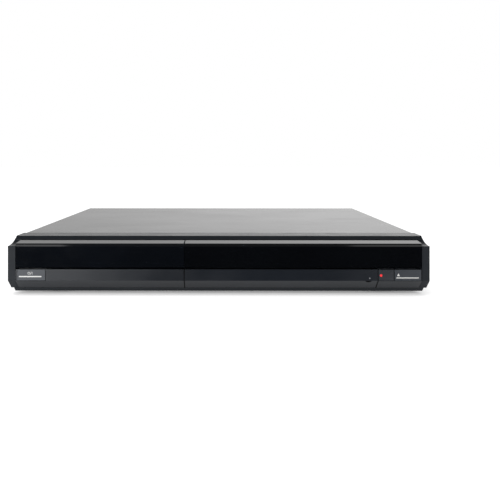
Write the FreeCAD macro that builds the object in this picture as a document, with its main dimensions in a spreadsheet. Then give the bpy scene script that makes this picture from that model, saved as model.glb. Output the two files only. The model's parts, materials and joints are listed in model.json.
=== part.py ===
import FreeCAD, Part
import collections
import os
import re

import Sketcher

# Driving sizes in millimetres and degrees. Heights without a base are above the table,
# depths are behind the front face, and X is to the right seen from the front.
DIMENSIONS = {
    # whole machine
    "width": 430.0,
    "height": 59.0,
    "depth": 329.0,
    "jack_reach": 7.5,
    "gap": 0.3,
    "sheet": 1.0,
    "floor_height": 6.0,
    # front outline, from the table up and from the top down
    "panel_bottom": 3.0,
    "fascia_bottom": 7.3,
    "bevel_top": 16.5,
    "bevel_depth": 13.5,
    "lower_top": 28.0,
    "shadow_gap": 2.0,
    "lip_drop": 2.9,
    "strip_fall": 1.7,
    "strip_edge": 0.5,
    "strip_setback": 0.3,
    "groove_height": 0.9,
    "groove_depth": 2.0,
    "band_round": 1.7,
    "band_setback": 0.9,
    "strip_depth": 17.5,
    "lip_depth": 22.4,
    "flange_depth": 45.5,
    "tray_seam": -35.0,
    "flap_right": 162.7,
    # front panel moulding
    "cheek_width": 7.6,
    "cheek_shoulder": 51.8,
    "cheek_scoop_depth": 12.7,
    "cheek_scoop_height": 53.3,
    "cheek_top_depth": 24.2,
    "cheek_wall": 2.0,
    "strip_inset": 2.7,
    "flange_wall": 2.2,
    "wall_depth": 18.2,
    "panel_wall": 2.0,
    "panel_lap": 31.5,
    "recess_depth": 14.0,
    "recess_wall": 1.5,
    "tray_window_rise": 5.8,
    "tray_window_side": 1.6,
    # gloss pieces
    "gloss_wall": 2.6,
    "gloss_back": 3.6,
    "gloss_end": 1.8,
    "bezel_foot": 4.0,
    # fascias and flap
    "fascia_wall": 2.2,
    "fascia_top_wall": 1.8,
    "fascia_end": 2.0,
    "flap_pivot_depth": 7.5,
    "flap_pivot_height": 12.5,
    "flap_pin": 1.2,
    "flap_pin_length": 1.4,
    "flap_boss": 2.2,
    "flap_boss_width": 3.0,
    "pin_play": 0.05,
    "notch_x": 153.0,
    "notch_width": 6.8,
    "notch_height": 1.9,
    "notch_depth": 2.4,
    # front buttons
    "button_gap": 0.2,
    "button_wall": 2.0,
    "button_skirt": 5.0,
    "button_stem": 2.0,
    "power_left": -205.4,
    "power_right": -177.0,
    "record_right": 178.7,
    "open_right": 206.9,
    "button_board_wall": 1.6,
    "button_board_inset": 3.0,
    "switch_side": 6.0,
    "switch_height": 3.2,
    "switch_plunger": 1.6,
    "switch_air": 0.6,
    "button_travel": 0.5,
    # behind the flap
    "small_button_x": -22.0,
    "small_button_pitch": 14.0,
    "small_button_width": 9.0,
    "small_button_height": 5.0,
    "small_button_reach": 2.5,
    "socket_height": 20.0,
    "card_x": 53.0,
    "card_width": 25.0,
    "card_height": 3.0,
    "usb_x": 79.0,
    "usb_width": 13.2,
    "usb_height": 5.8,
    "usb_depth": 14.0,
    "dv_x": 95.0,
    "dv_width": 6.4,
    "dv_height": 4.2,
    "dv_depth": 10.0,
    "socket_shell": 0.5,
    "socket_tongue": 1.4,
    "svideo_x": 108.5,
    "svideo_radius": 6.2,
    "svideo_wall": 1.2,
    "svideo_key": 2.4,
    "svideo_depth": 8.0,
    "front_jack_x": 123.0,
    "front_jack_pitch": 13.5,
    "front_jack_reach": 5.6,
    "front_board_depth": 21.6,
    "front_board_wall": 1.6,
    "front_board_bottom": 9.0,
    # phono jacks
    "jack_barrel": 4.15,
    "jack_collar": 5.0,
    "jack_collar_reach": 1.0,
    "jack_contact": 1.6,
    "jack_box": 5.4,
    "jack_box_depth": 9.0,
    # display behind the gloss window
    "display_x": 65.0,
    "display_width": 104.0,
    "display_bottom": 32.5,
    "display_height": 17.0,
    "display_front": 11.0,
    "display_board_width": 150.0,
    "display_board_top": 51.0,
    # cover, chassis and feet
    "cover_wall": 0.8,
    "cover_inset": 1.2,
    "cover_bottom": 6.4,
    "cover_bend": 2.0,
    "cover_lip": 10.0,
    "vent_width": 2.4,
    "vent_height": 14.0,
    "vent_bottom": 26.0,
    "vent_pitch": 6.0,
    "vent_count": 12,
    "vent_start": 236.0,
    "chassis_front": 24.0,
    "chassis_flange": 14.0,
    "chassis_front_flange": 9.0,
    "rear_foot": 4.5,
    "floor_vent_width": 34.0,
    "floor_vent_height": 3.0,
    "floor_vent_pitch": 8.0,
    "floor_vent_count": 8,
    "board_lift": 5.0,
    "standoff_half": 2.5,
    "board_wall": 1.6,
    "board_inset": 5.0,
    "foot_x": 170.0,
    "foot_front": 46.0,
    "foot_rear": 290.0,
    "foot_radius": 14.0,
    "foot_base": 12.6,
    "foot_hollow": 8.0,
    "foot_hollow_height": 1.5,
    # screws
    "screw_shank": 1.5,
    "screw_head": 3.1,
    "screw_head_height": 1.2,
    "screw_chamfer": 0.6,
    "screw_length": 5.0,
    "screw_play": 0.15,
    "side_screw_front": 110.0,
    "side_screw_rear": 228.0,
    "side_screw_height": 14.0,
    "rear_screw_x": 204.0,
    "rear_screw_drop": 5.5,
    # disc drive body
    "drive_width": 146.0,
    "drive_length": 196.5,
    "drive_wall": 2.0,
    "drive_front": 25.5,
    "drive_top_clear": 6.0,
    "drive_plate": 1.0,
    "rail_height": 2.2,
    "rail_clear": 0.3,
    "rail_reach": 4.7,
    # disc tray
    "tray_rise": 34.0,
    "tray_half": 66.0,
    "tray_length": 190.0,
    "tray_plate": 6.0,
    "tray_rib": 2.0,
    "tray_rib_drop": 2.0,
    "runner_half": 69.0,
    "runner_low": 5.0,
    "runner_high": 2.5,
    "tray_front_rise": 4.0,
    "disc_depth": 78.0,
    "disc_recess_radius": 60.75,
    "disc_recess_drop": 3.0,
    "small_recess_radius": 40.6,
    "small_recess_drop": 4.2,
    "hub_radius": 21.0,
    "slot_half": 22.5,
    "slot_end": 146.0,
    "tray_pocket_start": 142.0,
    "tray_pocket_end": 184.0,
    "tray_pocket_half": 56.0,
    "thumb_radius": 13.0,
    # loading gears
    "pressure_angle": 20.0,
    "dedendum": 1.25,
    "backlash": 0.12,
    "mesh_clear": 0.1,
    "rack_module": 1.0,
    "pinion_teeth": 18,
    "rack_gaps": 50,
    "rack_lead": 2.5,
    "rack_offset": 28.8,
    "rack_back": 4.5,
    "rack_drop": 4.8,
    "gear_depth": 38.0,
    "pinion_air": 0.5,
    "pinion_face": 4.0,
    "wheel_module": 1.0,
    "wheel_teeth": 30,
    "wheel_face": 3.5,
    "wheel_drop": 7.0,
    "small_gear_teeth": 15,
    "gear_axle": 1.5,
    "axle_play": 0.06,
    "axle_foot": 3.2,
    "pulley_radius": 10.0,
    "pulley_face": 4.0,
    "pulley_air": 2.7,
    "pulley_groove": 0.9,
    "belt_wall": 1.2,
    "belt_air": 0.1,
    "motor_pitch": 34.0,
    "motor_radius": 10.0,
    "motor_height": 12.3,
    "motor_boss": 3.0,
    "motor_pulley_radius": 3.4,
    "motor_shaft": 1.0,
    "motor_shaft_sunk": 6.0,
    # traverse, in its raised place under the disc
    "traverse_tilt": 5.4,
    "traverse_pivot": 190.0,
    "traverse_half": 40.0,
    "traverse_front": 64.0,
    "traverse_drop": 11.5,
    "traverse_wall": 2.5,
    "traverse_rail": 2.0,
    "traverse_rail_height": 3.0,
    "traverse_window_half": 26.0,
    "traverse_window_start": 93.0,
    "traverse_window_end": 170.0,
    "trunnion_radius": 2.0,
    "trunnion_length": 4.5,
    "post_wall": 4.0,
    "post_length": 8.0,
    "spindle_radius": 13.0,
    "spindle_height": 7.0,
    "turntable_radius": 14.0,
    "turntable_rise": 3.0,
    "turntable_drop": 1.0,
    "cone_radius": 7.3,
    "cone_top": 5.4,
    "cone_rise": 2.3,
    "spindle_shaft": 1.0,
    "sled_half": 23.0,
    "sled_lead": 8.0,
    "sled_length": 28.0,
    "sled_height": 5.5,
    "sled_sink": 0.7,
    "sled_start": 24.0,
    "lens_holder": 7.5,
    "lens_radius": 2.6,
    "lens_rise": 0.6,
    "lens_drop": 2.5,
    "rod_radius": 1.5,
    "rod_offset": 19.5,
    "rod_play": 0.1,
    "rod_start": 90.5,
    "rod_end": 172.5,
    "rod_height": 2.2,
    "rod_seat": 4.0,
    "rod_seat_half": 2.6,
    "lead_screw_radius": 1.5,
    "lead_screw_offset": 30.0,
    "lead_screw_start": 96.0,
    "lead_screw_end": 158.0,
    "sled_nut_reach": 2.6,
    "sled_motor_radius": 3.0,
    "sled_motor_length": 13.0,
    "clamper_radius": 12.0,
    "clamper_flange": 14.5,
    "clamper_bottom": 1.6,
    "clamper_flange_wall": 1.4,
    "clamper_play": 0.6,
    "clamper_air": 0.1,
    # hard disk
    "disk_x": 151.0,
    "disk_width": 101.6,
    "disk_length": 147.0,
    "disk_height": 26.1,
    "disk_front": 58.0,
    "disk_lift": 12.0,
    "disk_step": 3.0,
    "disk_step_inset": 5.0,
    "bracket_wall": 1.2,
    "bracket_foot": 8.0,
    "bracket_length": 120.0,
    # boards
    "main_left": -18.0,
    "main_right": 206.0,
    "main_front": 216.0,
    "main_rear_air": 4.0,
    "digital_left": -24.0,
    "digital_right": 86.0,
    "digital_front": 72.0,
    "digital_rear": 200.0,
    "chip_side": 27.0,
    "chip_height": 2.0,
    "small_chip_width": 18.0,
    "small_chip_length": 11.0,
    "small_chip_height": 1.2,
    "small_chip_pitch": 24.0,
    "chip_x": 20.0,
    "chip_depth": 112.0,
    "chip_pitch": 36.0,
    "sink_side": 34.0,
    "sink_height": 12.0,
    "sink_base": 2.5,
    "sink_fin": 1.2,
    "sink_fin_pitch": 4.1,
    "sink_fin_count": 8,
    "cable_half": 24.0,
    "cable_wall": 1.0,
    "cable_rise": 9.0,
    "cable_run": 12.0,
    "cable_bend": 3.0,
    # power supply
    "supply_left": -206.0,
    "supply_right": -66.0,
    "supply_front": 232.0,
    "transformer_x": -122.0,
    "transformer_depth": 262.0,
    "transformer_width": 34.0,
    "transformer_length": 28.0,
    "transformer_height": 26.0,
    "transformer_core": 7.0,
    "capacitor_x": -172.0,
    "capacitor_depth": 250.0,
    "capacitor_radius": 9.0,
    "capacitor_height": 30.0,
    "capacitor_pitch": 22.0,
    "power_sink_x": -88.0,
    "power_sink_front": 244.0,
    "power_sink_length": 56.0,
    "power_sink_height": 30.0,
    "power_sink_wall": 2.0,
    "power_sink_fin": 8.0,
    "power_sink_fin_count": 5,
    # rear connectors
    "inlet_x": -186.0,
    "inlet_height": 26.0,
    "inlet_half": 12.5,
    "inlet_rise": 8.0,
    "inlet_depth": 19.0,
    "inlet_flange": 1.6,
    "inlet_flange_wall": 1.2,
    "inlet_well_depth": 15.5,
    "inlet_well_radius": 4.6,
    "inlet_pin_x": 4.3,
    "inlet_pin": 1.2,
    "inlet_pin_length": 11.0,
    "fan_x": -42.0,
    "fan_height": 31.0,
    "fan_half": 20.0,
    "fan_depth": 10.0,
    "fan_bore": 19.0,
    "fan_hub": 10.0,
    "fan_mount": 9.0,
    "fan_spoke": 2.0,
    "fan_spokes": 3,
    "fan_spoke_wall": 1.5,
    "fan_blade_reach": 18.0,
    "fan_blade_wall": 1.0,
    "fan_blade_rise": 8.0,
    "fan_blades": 7,
    "fan_rotor_air": 0.6,
    "grille_bar": 2.4,
    "grille_pitch": 5.4,
    "tuner_x": 14.0,
    "tuner_width": 26.0,
    "tuner_depth": 42.0,
    "tuner_height": 36.0,
    "tuner_collar": 6.0,
    "tuner_barrel": 4.75,
    "tuner_bore": 3.9,
    "tuner_pin": 1.1,
    "tuner_low": 21.0,
    "tuner_rise": 19.0,
    "scart_x": 66.0,
    "scart_half": 24.5,
    "scart_rise": 7.6,
    "scart_corner": 4.0,
    "scart_depth": 14.0,
    "scart_reach": 3.0,
    "scart_wall": 1.6,
    "scart_moat": 2.0,
    "scart_well": 8.0,
    "scart_low": 21.5,
    "scart_pitch": 19.0,
    "rear_jack_x": 106.0,
    "rear_jack_pitch": 14.0,
    "rear_jack_low": 22.0,
    "rear_jack_rise": 18.0,
    "optical_x": 166.0,
    "optical_half": 4.8,
    "optical_depth": 11.0,
    "optical_reach": 1.2,
    "optical_shutter": 3.2,
    "optical_shutter_depth": 0.8,
    "hdmi_x": 186.0,
    "hdmi_width": 15.0,
    "hdmi_height": 5.8,
    "hdmi_corner": 1.6,
    "hdmi_depth": 12.0,
    "hdmi_reach": 0.6,
    "hdmi_socket_height": 18.0,
}

REFERENCE = re.compile(r"[a-z_]+")
Via = collections.namedtuple("Via", "x y")

doc = FreeCAD.newDocument("disc_recorder")
sizes = doc.addObject("Spreadsheet::Sheet", "Sizes")
for row, (alias, value) in enumerate(DIMENSIONS.items(), start=1):
    sizes.set(f"A{row}", alias)
    sizes.set(f"B{row}", str(value))
    sizes.setAlias(f"B{row}", alias)
doc.recompute()

nodes = {}

# Derived places, written once as expressions over the sizes.
HALF = "(width / 2)"
FRONT = "(-(depth + jack_reach) / 2)"
REAR = "((depth - jack_reach) / 2)"
FLOOR = "(floor_height + sheet)"
BOARD_TOP = "(floor_height + sheet + board_lift + board_wall)"
STRIP_REAR = "(height - lip_drop)"
STRIP_FRONT = "(height - lip_drop - strip_fall)"
GROOVE_TOP = f"({STRIP_FRONT} - strip_edge)"
GROOVE_BOTTOM = f"({GROOVE_TOP} - groove_height)"
BAND_TOP = f"({GROOVE_BOTTOM} - band_round)"
BAND_BOTTOM = "(lower_top + shadow_gap)"
CHEEK_INNER = "(width / 2 - cheek_width)"
WALL_BACK = "(wall_depth + panel_wall)"
COVER_HALF = "(width / 2 - cover_inset)"
COVER_INNER = "(width / 2 - cover_inset - cover_wall - gap)"
TRAY_X = "((tray_seam - width / 2 + cheek_width) / 2)"
TRAY_TOP = "(floor_height + sheet + tray_rise)"
TRAY_BOTTOM = f"({TRAY_TOP} - tray_plate)"
DRIVE_BOTTOM = "(floor_height + sheet + board_lift)"
DRIVE_FLOOR = f"({DRIVE_BOTTOM} + drive_wall)"
DRIVE_TOP = f"({TRAY_TOP} + drive_top_clear)"
PINION_TOP = f"({TRAY_BOTTOM} - pinion_air)"
WHEEL_TOP = f"({PINION_TOP} - wheel_drop)"
WHEEL_BOTTOM = f"({WHEEL_TOP} - wheel_face)"
PULLEY_TOP = f"({TRAY_BOTTOM} - pulley_air)"
PULLEY_BOTTOM = f"({PULLEY_TOP} - pulley_face)"
PINION_PITCH = "(rack_module * pinion_teeth / 2)"
RACK_X = f"({TRAY_X} - rack_offset)"
GEAR_X = f"({RACK_X} - {PINION_PITCH} - mesh_clear)"
TRAIN = "(wheel_module * (wheel_teeth + small_gear_teeth) / 2 + mesh_clear)"
PULLEY_X = f"({GEAR_X} - {TRAIN})"
TRAVERSE_BOTTOM = f"({TRAY_TOP} - traverse_drop - traverse_wall)"
TRAVERSE_TOP = f"({TRAY_TOP} - traverse_drop)"
PIVOT_HEIGHT = f"({TRAY_TOP} - traverse_drop - traverse_wall / 2)"
DISC_PLANE = f"({TRAY_TOP} - turntable_drop)"
ROD_HEIGHT = f"({TRAVERSE_TOP} + rod_height)"
RODS = [f"({TRAY_X} + {sign} * rod_offset)" for sign in ("-1", "1")]
LEAD_X = f"({TRAY_X} + lead_screw_offset)"
LENS_Y = "(-(depth + jack_reach) / 2 + disc_depth + sled_start)"
LENS_SEAT = f"({DISC_PLANE} - lens_drop)"
SCREW_HOLE = "(screw_shank + screw_play)"


def full(text):
    """Turn the plain names of sizes in an expression into references to the sheet."""
    return REFERENCE.sub(lambda m: f"Sizes.{m.group()}" if m.group() in DIMENSIONS else m.group(), text)


def number(text):
    """Present value of an expression over the sizes."""
    return float(sizes.evalExpression(full(text)))


def bind(item, name, text):
    """Tie a property to the sizes."""
    item.setExpression(name, full(text))


def behind(depth):
    """Y of a place a given depth behind the front face."""
    return f"({FRONT} + {depth})"


def side(depth, height):
    """Corner of a side view: depth behind the front face, and height."""
    return (behind(depth), height)


def bevel(height):
    """Depth of the lower bevel at a height."""
    return f"(bevel_depth * (bevel_top - ({height})) / (bevel_top - panel_bottom))"


def rectangle(left, low, right, high):
    """Corners of a rectangle."""
    return [(left, low), (right, low), (right, high), (left, high)]


def around(x, y, half_x, half_y):
    """Corners of a rectangle about a centre."""
    return rectangle(f"{x} - {half_x}", f"{y} - {half_y}", f"{x} + {half_x}", f"{y} + {half_y}")


def place(text_pair):
    """Present position of a sketch corner."""
    return FreeCAD.Vector(number(text_pair[0]), number(text_pair[1]), 0)


def piece(label):
    """New body that is one named sub-part."""
    body = doc.addObject("PartDesign::Body", label)
    body.Label = label
    nodes[label] = body
    return body


def helper(label):
    """New body that is joined with others of its kind into one sub-part."""
    body = doc.addObject("PartDesign::Body", label)
    body.Label = label
    return body


def group(label, members):
    """Separate solids that share one named sub-part."""
    compound = doc.addObject("Part::Compound", label)
    compound.Label = label
    compound.Links = members
    nodes[label] = compound
    return compound


def pin(sketch, geometry, end, corner):
    """Hold one point of a sketch at coordinates tied to the sizes."""
    for kind, text in zip(("DistanceX", "DistanceY"), corner):
        constraint = Sketcher.Constraint(kind, -1, 1, geometry, end, number(text))
        index = sketch.addConstraint(constraint)
        bind(sketch, f"Constraints[{index}]", text)


def draw_loop(sketch, loop):
    """Closed outline of straight edges, with an arc wherever a Via lies between two corners."""
    corners = [index for index, item in enumerate(loop) if not isinstance(item, Via)]
    edges = []
    for order, corner in enumerate(corners):
        start = place(loop[corner])
        end = place(loop[corners[(order + 1) % len(corners)]])
        middle = loop[(corner + 1) % len(loop)]
        bent = isinstance(middle, Via)
        curve = Part.Arc(start, place(middle), end) if bent else Part.LineSegment(start, end)
        edge = sketch.addGeometry(curve, False)
        nearest = min((1, 2), key=lambda index: sketch.getPoint(edge, index).distanceToPoint(start))
        edges.append((edge, nearest))
        if bent:
            guide = sketch.addGeometry(Part.Point(place(middle)), True)
            pin(sketch, guide, 1, middle)
            sketch.addConstraint(Sketcher.Constraint("PointOnObject", guide, 1, edge))
    for order, (edge, start) in enumerate(edges):
        following, its_start = edges[(order + 1) % len(edges)]
        sketch.addConstraint(Sketcher.Constraint("Coincident", edge, 3 - start, following, its_start))
        pin(sketch, edge, start, loop[corners[order]])


def draw_circle(sketch, x, y, radius):
    """Circle with its centre and radius tied to the sizes."""
    circle = Part.Circle(place((x, y)), FreeCAD.Vector(0, 0, 1), number(radius))
    index = sketch.addGeometry(circle, False)
    pin(sketch, index, 3, (x, y))
    held = sketch.addConstraint(Sketcher.Constraint("Radius", index, number(radius)))
    bind(sketch, f"Constraints[{held}]", radius)


def draw(body, plane, origin, loops=(), circles=()):
    """Sketch on one of the body's own planes, with its origin moved in the plane's own axes."""
    sketch = body.newObject("Sketcher::SketchObject", f"{body.Name}_sketch")
    support = next(item for item in body.Origin.OriginFeatures if item.Role == f"{plane}_Plane")
    sketch.AttachmentSupport = [(support, "")]
    sketch.MapMode = "FlatFace"
    for axis, text in zip("xyz", origin):
        bind(sketch, f"AttachmentOffset.Base.{axis}", text)
    for loop in loops:
        draw_loop(sketch, loop)
    for x, y, radius in circles:
        draw_circle(sketch, x, y, radius)
    return sketch


def extrude(body, plane, low, high, loops=(), circles=(), cut=False, centre=("0", "0")):
    """Pad, or pocket, between two places on the axis that the plane faces."""
    from_high = (plane == "XZ") != cut
    start = high if from_high else low
    lift = f"-({start})" if plane == "XZ" else start
    sketch = draw(body, plane, (centre[0], centre[1], lift), loops, circles)
    kind = "Pocket" if cut else "Pad"
    feature = body.newObject(f"PartDesign::{kind}", f"{body.Name}_{kind.lower()}")
    feature.Profile = sketch
    bind(feature, "Length", f"({high}) - ({low})")
    return feature


def carve(body, plane, low, high, loops=(), circles=(), centre=("0", "0")):
    """Pocket between two places on the axis that the plane faces."""
    return extrude(body, plane, low, high, loops, circles, True, centre)


def turn(body, axis, centre, loop):
    """Solid of revolution; each corner is a radius and a distance from the centre along the axis."""
    x, y, z = centre
    if axis == "Z":
        sketch = draw(body, "XZ", (x, z, f"-({y})"), [loop])
        line = "V_Axis"
    elif axis == "Y":
        sketch = draw(body, "YZ", (y, z, x), [swapped(loop)])
        line = "H_Axis"
    else:
        sketch = draw(body, "XZ", (x, z, f"-({y})"), [swapped(loop)])
        line = "H_Axis"
    feature = body.newObject("PartDesign::Revolution", f"{body.Name}_turn")
    feature.Profile = sketch
    feature.ReferenceAxis = (sketch, [line])
    feature.Angle = 360
    return feature


def swapped(loop):
    """The same outline with its two coordinates exchanged."""
    return [Via(item.y, item.x) if isinstance(item, Via) else (item[1], item[0]) for item in loop]


def ring_pattern(body, feature, count, about=None):
    """Repeat a feature about the normal of its own sketch, or of another feature's."""
    pattern = body.newObject("PartDesign::PolarPattern", f"{body.Name}_ring")
    pattern.Originals = [feature]
    pattern.Axis = ((about or feature).Profile[0], ["N_Axis"])
    pattern.Angle = 360
    bind(pattern, "Occurrences", count)
    body.Tip = pattern
    return pattern


def row_pattern(body, feature, line, pitch, count):
    """Repeat a feature along a line of its own sketch."""
    pattern = body.newObject("PartDesign::LinearPattern", f"{body.Name}_row")
    pattern.Originals = [feature]
    pattern.Direction = (feature.Profile[0], [line])
    bind(pattern, "Length", f"({pitch}) * ({count} - 1)")
    bind(pattern, "Occurrences", count)
    body.Tip = pattern
    return pattern


def block(body, x, y, z):
    """Box given by its low and high place on each axis."""
    extrude(body, "XY", z[0], z[1], [rectangle(x[0], y[0], x[1], y[1])])


def cut_block(body, x, y, z):
    """Box shaped cut given by its low and high place on each axis."""
    carve(body, "XY", z[0], z[1], [rectangle(x[0], y[0], x[1], y[1])])


def corners(left, front, right, rear, inset):
    """Four places near the corners of a rectangle."""
    return [
        (f"{left} + {inset}", f"{front} + {inset}"),
        (f"{right} - {inset}", f"{front} + {inset}"),
        (f"{left} + {inset}", f"{rear} - {inset}"),
        (f"{right} - {inset}", f"{rear} - {inset}"),
    ]


# Board outlines, shared by the boards, the stand-offs that carry them and their screws.
MAIN_BOARD = ("main_left", behind("main_front"), "main_right", f"({REAR} - main_rear_air)")
DIGITAL_BOARD = ("digital_left", behind("digital_front"), "digital_right", behind("digital_rear"))
SUPPLY_BOARD = ("supply_left", behind("supply_front"), "supply_right", f"({REAR} - main_rear_air)")
DRIVE_FOOTPRINT = (
    f"({TRAY_X} - drive_width / 2)",
    behind("drive_front"),
    f"({TRAY_X} + drive_width / 2)",
    behind("(drive_front + drive_length)"),
)
STANDOFFS = [
    spot
    for area in (MAIN_BOARD, DIGITAL_BOARD, SUPPLY_BOARD, DRIVE_FOOTPRINT)
    for spot in corners(*area, "board_inset")
]

FEET = [(f"{sign} * foot_x", behind(depth)) for sign in ("-1", "1") for depth in ("foot_front", "foot_rear")]
SIDE_SCREWS = [(sign, depth) for sign in ("-1", "1") for depth in ("side_screw_front", "side_screw_rear")]
REAR_SCREWS = ["-1 * rear_screw_x", "0 * rear_screw_x", "rear_screw_x"]
SMALL_BUTTONS = ["stop_button", "play_button", "channel_down_button", "channel_up_button"]
FRONT_JACKS = [f"(front_jack_x + {index} * front_jack_pitch)" for index in range(3)]
REAR_JACKS = [
    (f"(rear_jack_x + {column} * rear_jack_pitch)", f"(rear_jack_low + {line} * rear_jack_rise)")
    for line in range(2)
    for column in range(4)
]
SCARTS = [f"(scart_low + {line} * scart_pitch)" for line in range(2)]
TUNER_BARRELS = [f"(tuner_low + {line} * tuner_rise)" for line in range(2)]


def small_button_x(index):
    """Centre of a button behind the flap."""
    return f"(small_button_x + {index} * small_button_pitch)"


def front_panel():
    """Moulded frame: back wall, end cheeks, top flange with its lip, bottom strip, jack recess."""
    body = piece("front_panel")
    extrude(body, "XZ", behind("wall_depth"), behind(WALL_BACK),
            [rectangle(f"-({HALF} - cheek_wall)", "fascia_bottom",
                       f"{HALF} - cheek_wall", f"{STRIP_REAR} - sheet")])
    cheek = [
        side("0", "bevel_top"),
        side("0", "cheek_shoulder"),
        Via(*side("cheek_scoop_depth", "cheek_scoop_height")),
        side("cheek_top_depth", "height"),
        side("flange_depth", "height"),
        side("flange_depth", "fascia_bottom"),
        side(bevel("fascia_bottom"), "fascia_bottom"),
    ]
    hollow = rectangle(behind(WALL_BACK), "fascia_bottom + cheek_wall",
                       behind("flange_depth - cheek_wall"), "height - flange_wall")
    for low, high, inner in (
        (f"-{HALF}", f"-{CHEEK_INNER}", (f"-{HALF} + cheek_wall", f"-{CHEEK_INNER}")),
        (CHEEK_INNER, HALF, (CHEEK_INNER, f"{HALF} - cheek_wall")),
    ):
        extrude(body, "YZ", low, high, [cheek])
        carve(body, "YZ", inner[0], inner[1], [hollow])
    extrude(body, "YZ", f"-{HALF} + cheek_wall", f"{HALF} - cheek_wall", [[
        side("strip_depth + gap", STRIP_REAR),
        side("lip_depth", "height"),
        side("flange_depth", "height"),
        side("flange_depth", "height - flange_wall"),
        side("lip_depth + gap", "height - flange_wall"),
        side("strip_depth + gap", f"{STRIP_REAR} - flange_wall"),
    ]])
    extrude(body, "YZ", f"-{HALF} + strip_inset", f"{HALF} - strip_inset", [[
        side(bevel("fascia_bottom - gap"), "fascia_bottom - gap"),
        side("bevel_depth", "panel_bottom"),
        side("panel_lap", "panel_bottom"),
        side("panel_lap", "panel_bottom + panel_wall"),
        side(WALL_BACK, "panel_bottom + panel_wall"),
        side(WALL_BACK, "fascia_bottom + gap"),
        side("wall_depth", "fascia_bottom + gap"),
        side("wall_depth", "fascia_bottom - gap"),
    ]])
    extrude(body, "XZ", behind("recess_depth"), behind("wall_depth"),
            [rectangle("tray_seam", "fascia_bottom - gap", "flap_right", "lower_top + recess_wall")])
    carve(body, "XZ", behind("recess_depth + recess_wall"), behind(WALL_BACK),
          [rectangle("tray_seam + recess_wall", "fascia_bottom + panel_wall",
                     "flap_right - recess_wall", "lower_top")])
    carve(body, "XZ", behind("wall_depth"), behind(WALL_BACK), [
        rectangle(f"{TRAY_X} - runner_half - tray_window_side", f"{BAND_BOTTOM} - gap",
                  f"{TRAY_X} + runner_half + tray_window_side", f"{TRAY_TOP} + tray_window_rise"),
        rectangle("display_x - display_width / 2 - gap", "display_bottom - gap",
                  "display_x + display_width / 2 + gap", "display_bottom + display_height + gap"),
    ])
    holes = [
        around(small_button_x(index), "socket_height", "(small_button_width / 2 + button_gap)",
               "(small_button_height / 2 + button_gap)")
        for index in range(len(SMALL_BUTTONS))
    ]
    holes.append(around("card_x", "socket_height", "(card_width / 2 + gap)", "(card_height / 2 + gap)"))
    holes.append(around("usb_x", "socket_height", "(usb_width / 2 + gap)", "(usb_height / 2 + gap)"))
    holes.append(around("dv_x", "socket_height", "(dv_width / 2 + gap)", "(dv_height / 2 + gap)"))
    holes += [around(x, "socket_height", "(jack_collar + gap)", "(jack_collar + gap)") for x in FRONT_JACKS]
    rounds = [("svideo_x", "socket_height", "svideo_radius + gap")]
    carve(body, "XZ", behind("recess_depth"), behind("recess_depth + recess_wall"), holes, rounds)


def gloss_profile():
    """Side view shared by the tray bezel and the display window: band, groove and sloped strip."""
    return [
        side("0", BAND_BOTTOM),
        side("0", BAND_TOP),
        side("band_setback", GROOVE_BOTTOM),
        side("groove_depth", GROOVE_BOTTOM),
        side("groove_depth", GROOVE_TOP),
        side("strip_setback", GROOVE_TOP),
        side("strip_setback", STRIP_FRONT),
        side("strip_depth", STRIP_REAR),
        side("strip_depth", f"{STRIP_REAR} - strip_fall"),
        side("groove_depth + gloss_wall", f"{GROOVE_BOTTOM} - groove_height"),
        side("gloss_wall", f"{GROOVE_BOTTOM} - gloss_wall"),
        side("gloss_wall", BAND_BOTTOM),
    ]


def gloss_end_profile():
    """Side view of the web that closes an end of a gloss piece."""
    return [
        side("gloss_wall / 2", BAND_BOTTOM),
        side("gloss_wall / 2", f"{GROOVE_BOTTOM} - gloss_wall"),
        side("groove_depth + gloss_wall / 2", f"{GROOVE_BOTTOM} - groove_height / 2"),
        side("strip_depth", f"{STRIP_REAR} - strip_fall / 2"),
        side("strip_depth", f"{STRIP_REAR} - strip_fall - gloss_back"),
        side("gloss_wall + gloss_back", BAND_BOTTOM),
    ]


def tray_bezel():
    """Gloss piece on the front of the disc tray."""
    body = piece("tray_bezel")
    left = f"(-{CHEEK_INNER} + gap)"
    right = "(tray_seam - gap / 2)"
    extrude(body, "YZ", left, right, [gloss_profile()])
    extrude(body, "YZ", left, f"{left} + gloss_end", [gloss_end_profile()])
    extrude(body, "YZ", f"{right} - gloss_end", right, [gloss_end_profile()])
    for sign in ("-1", "1"):
        middle = f"({TRAY_X} + {sign} * tray_half / 2)"
        block(body, (f"{middle} - bezel_foot", f"{middle} + bezel_foot"),
              (behind("gloss_wall"), behind("gloss_wall + gloss_back")),
              (f"{TRAY_TOP} + tray_front_rise", f"{TRAY_TOP} + tray_front_rise + bezel_foot / 2"))


def display_window():
    """Smoked gloss piece fixed in front of the display."""
    body = piece("display_window")
    left = "(tray_seam + gap / 2)"
    right = f"({CHEEK_INNER} - gap)"
    extrude(body, "YZ", left, right, [gloss_profile()])
    extrude(body, "YZ", left, f"{left} + gloss_end", [gloss_end_profile()])
    extrude(body, "YZ", f"{right} - gloss_end", right, [gloss_end_profile()])


def fascia_profile():
    """Side view of a fixed lower fascia: band, bevel and the shelf that closes its top."""
    return [
        side("0", "lower_top"),
        side("0", "bevel_top"),
        side(bevel("fascia_bottom"), "fascia_bottom"),
        side(f"{bevel('fascia_bottom')} + fascia_wall", "fascia_bottom"),
        side(f"{bevel('fascia_bottom')} + fascia_wall", "fascia_bottom + fascia_wall / 2"),
        side("fascia_wall", "bevel_top + fascia_wall / 2"),
        side("fascia_wall", "lower_top - fascia_top_wall"),
        side("wall_depth", "lower_top - fascia_top_wall"),
        side("wall_depth", "lower_top"),
    ]


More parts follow.
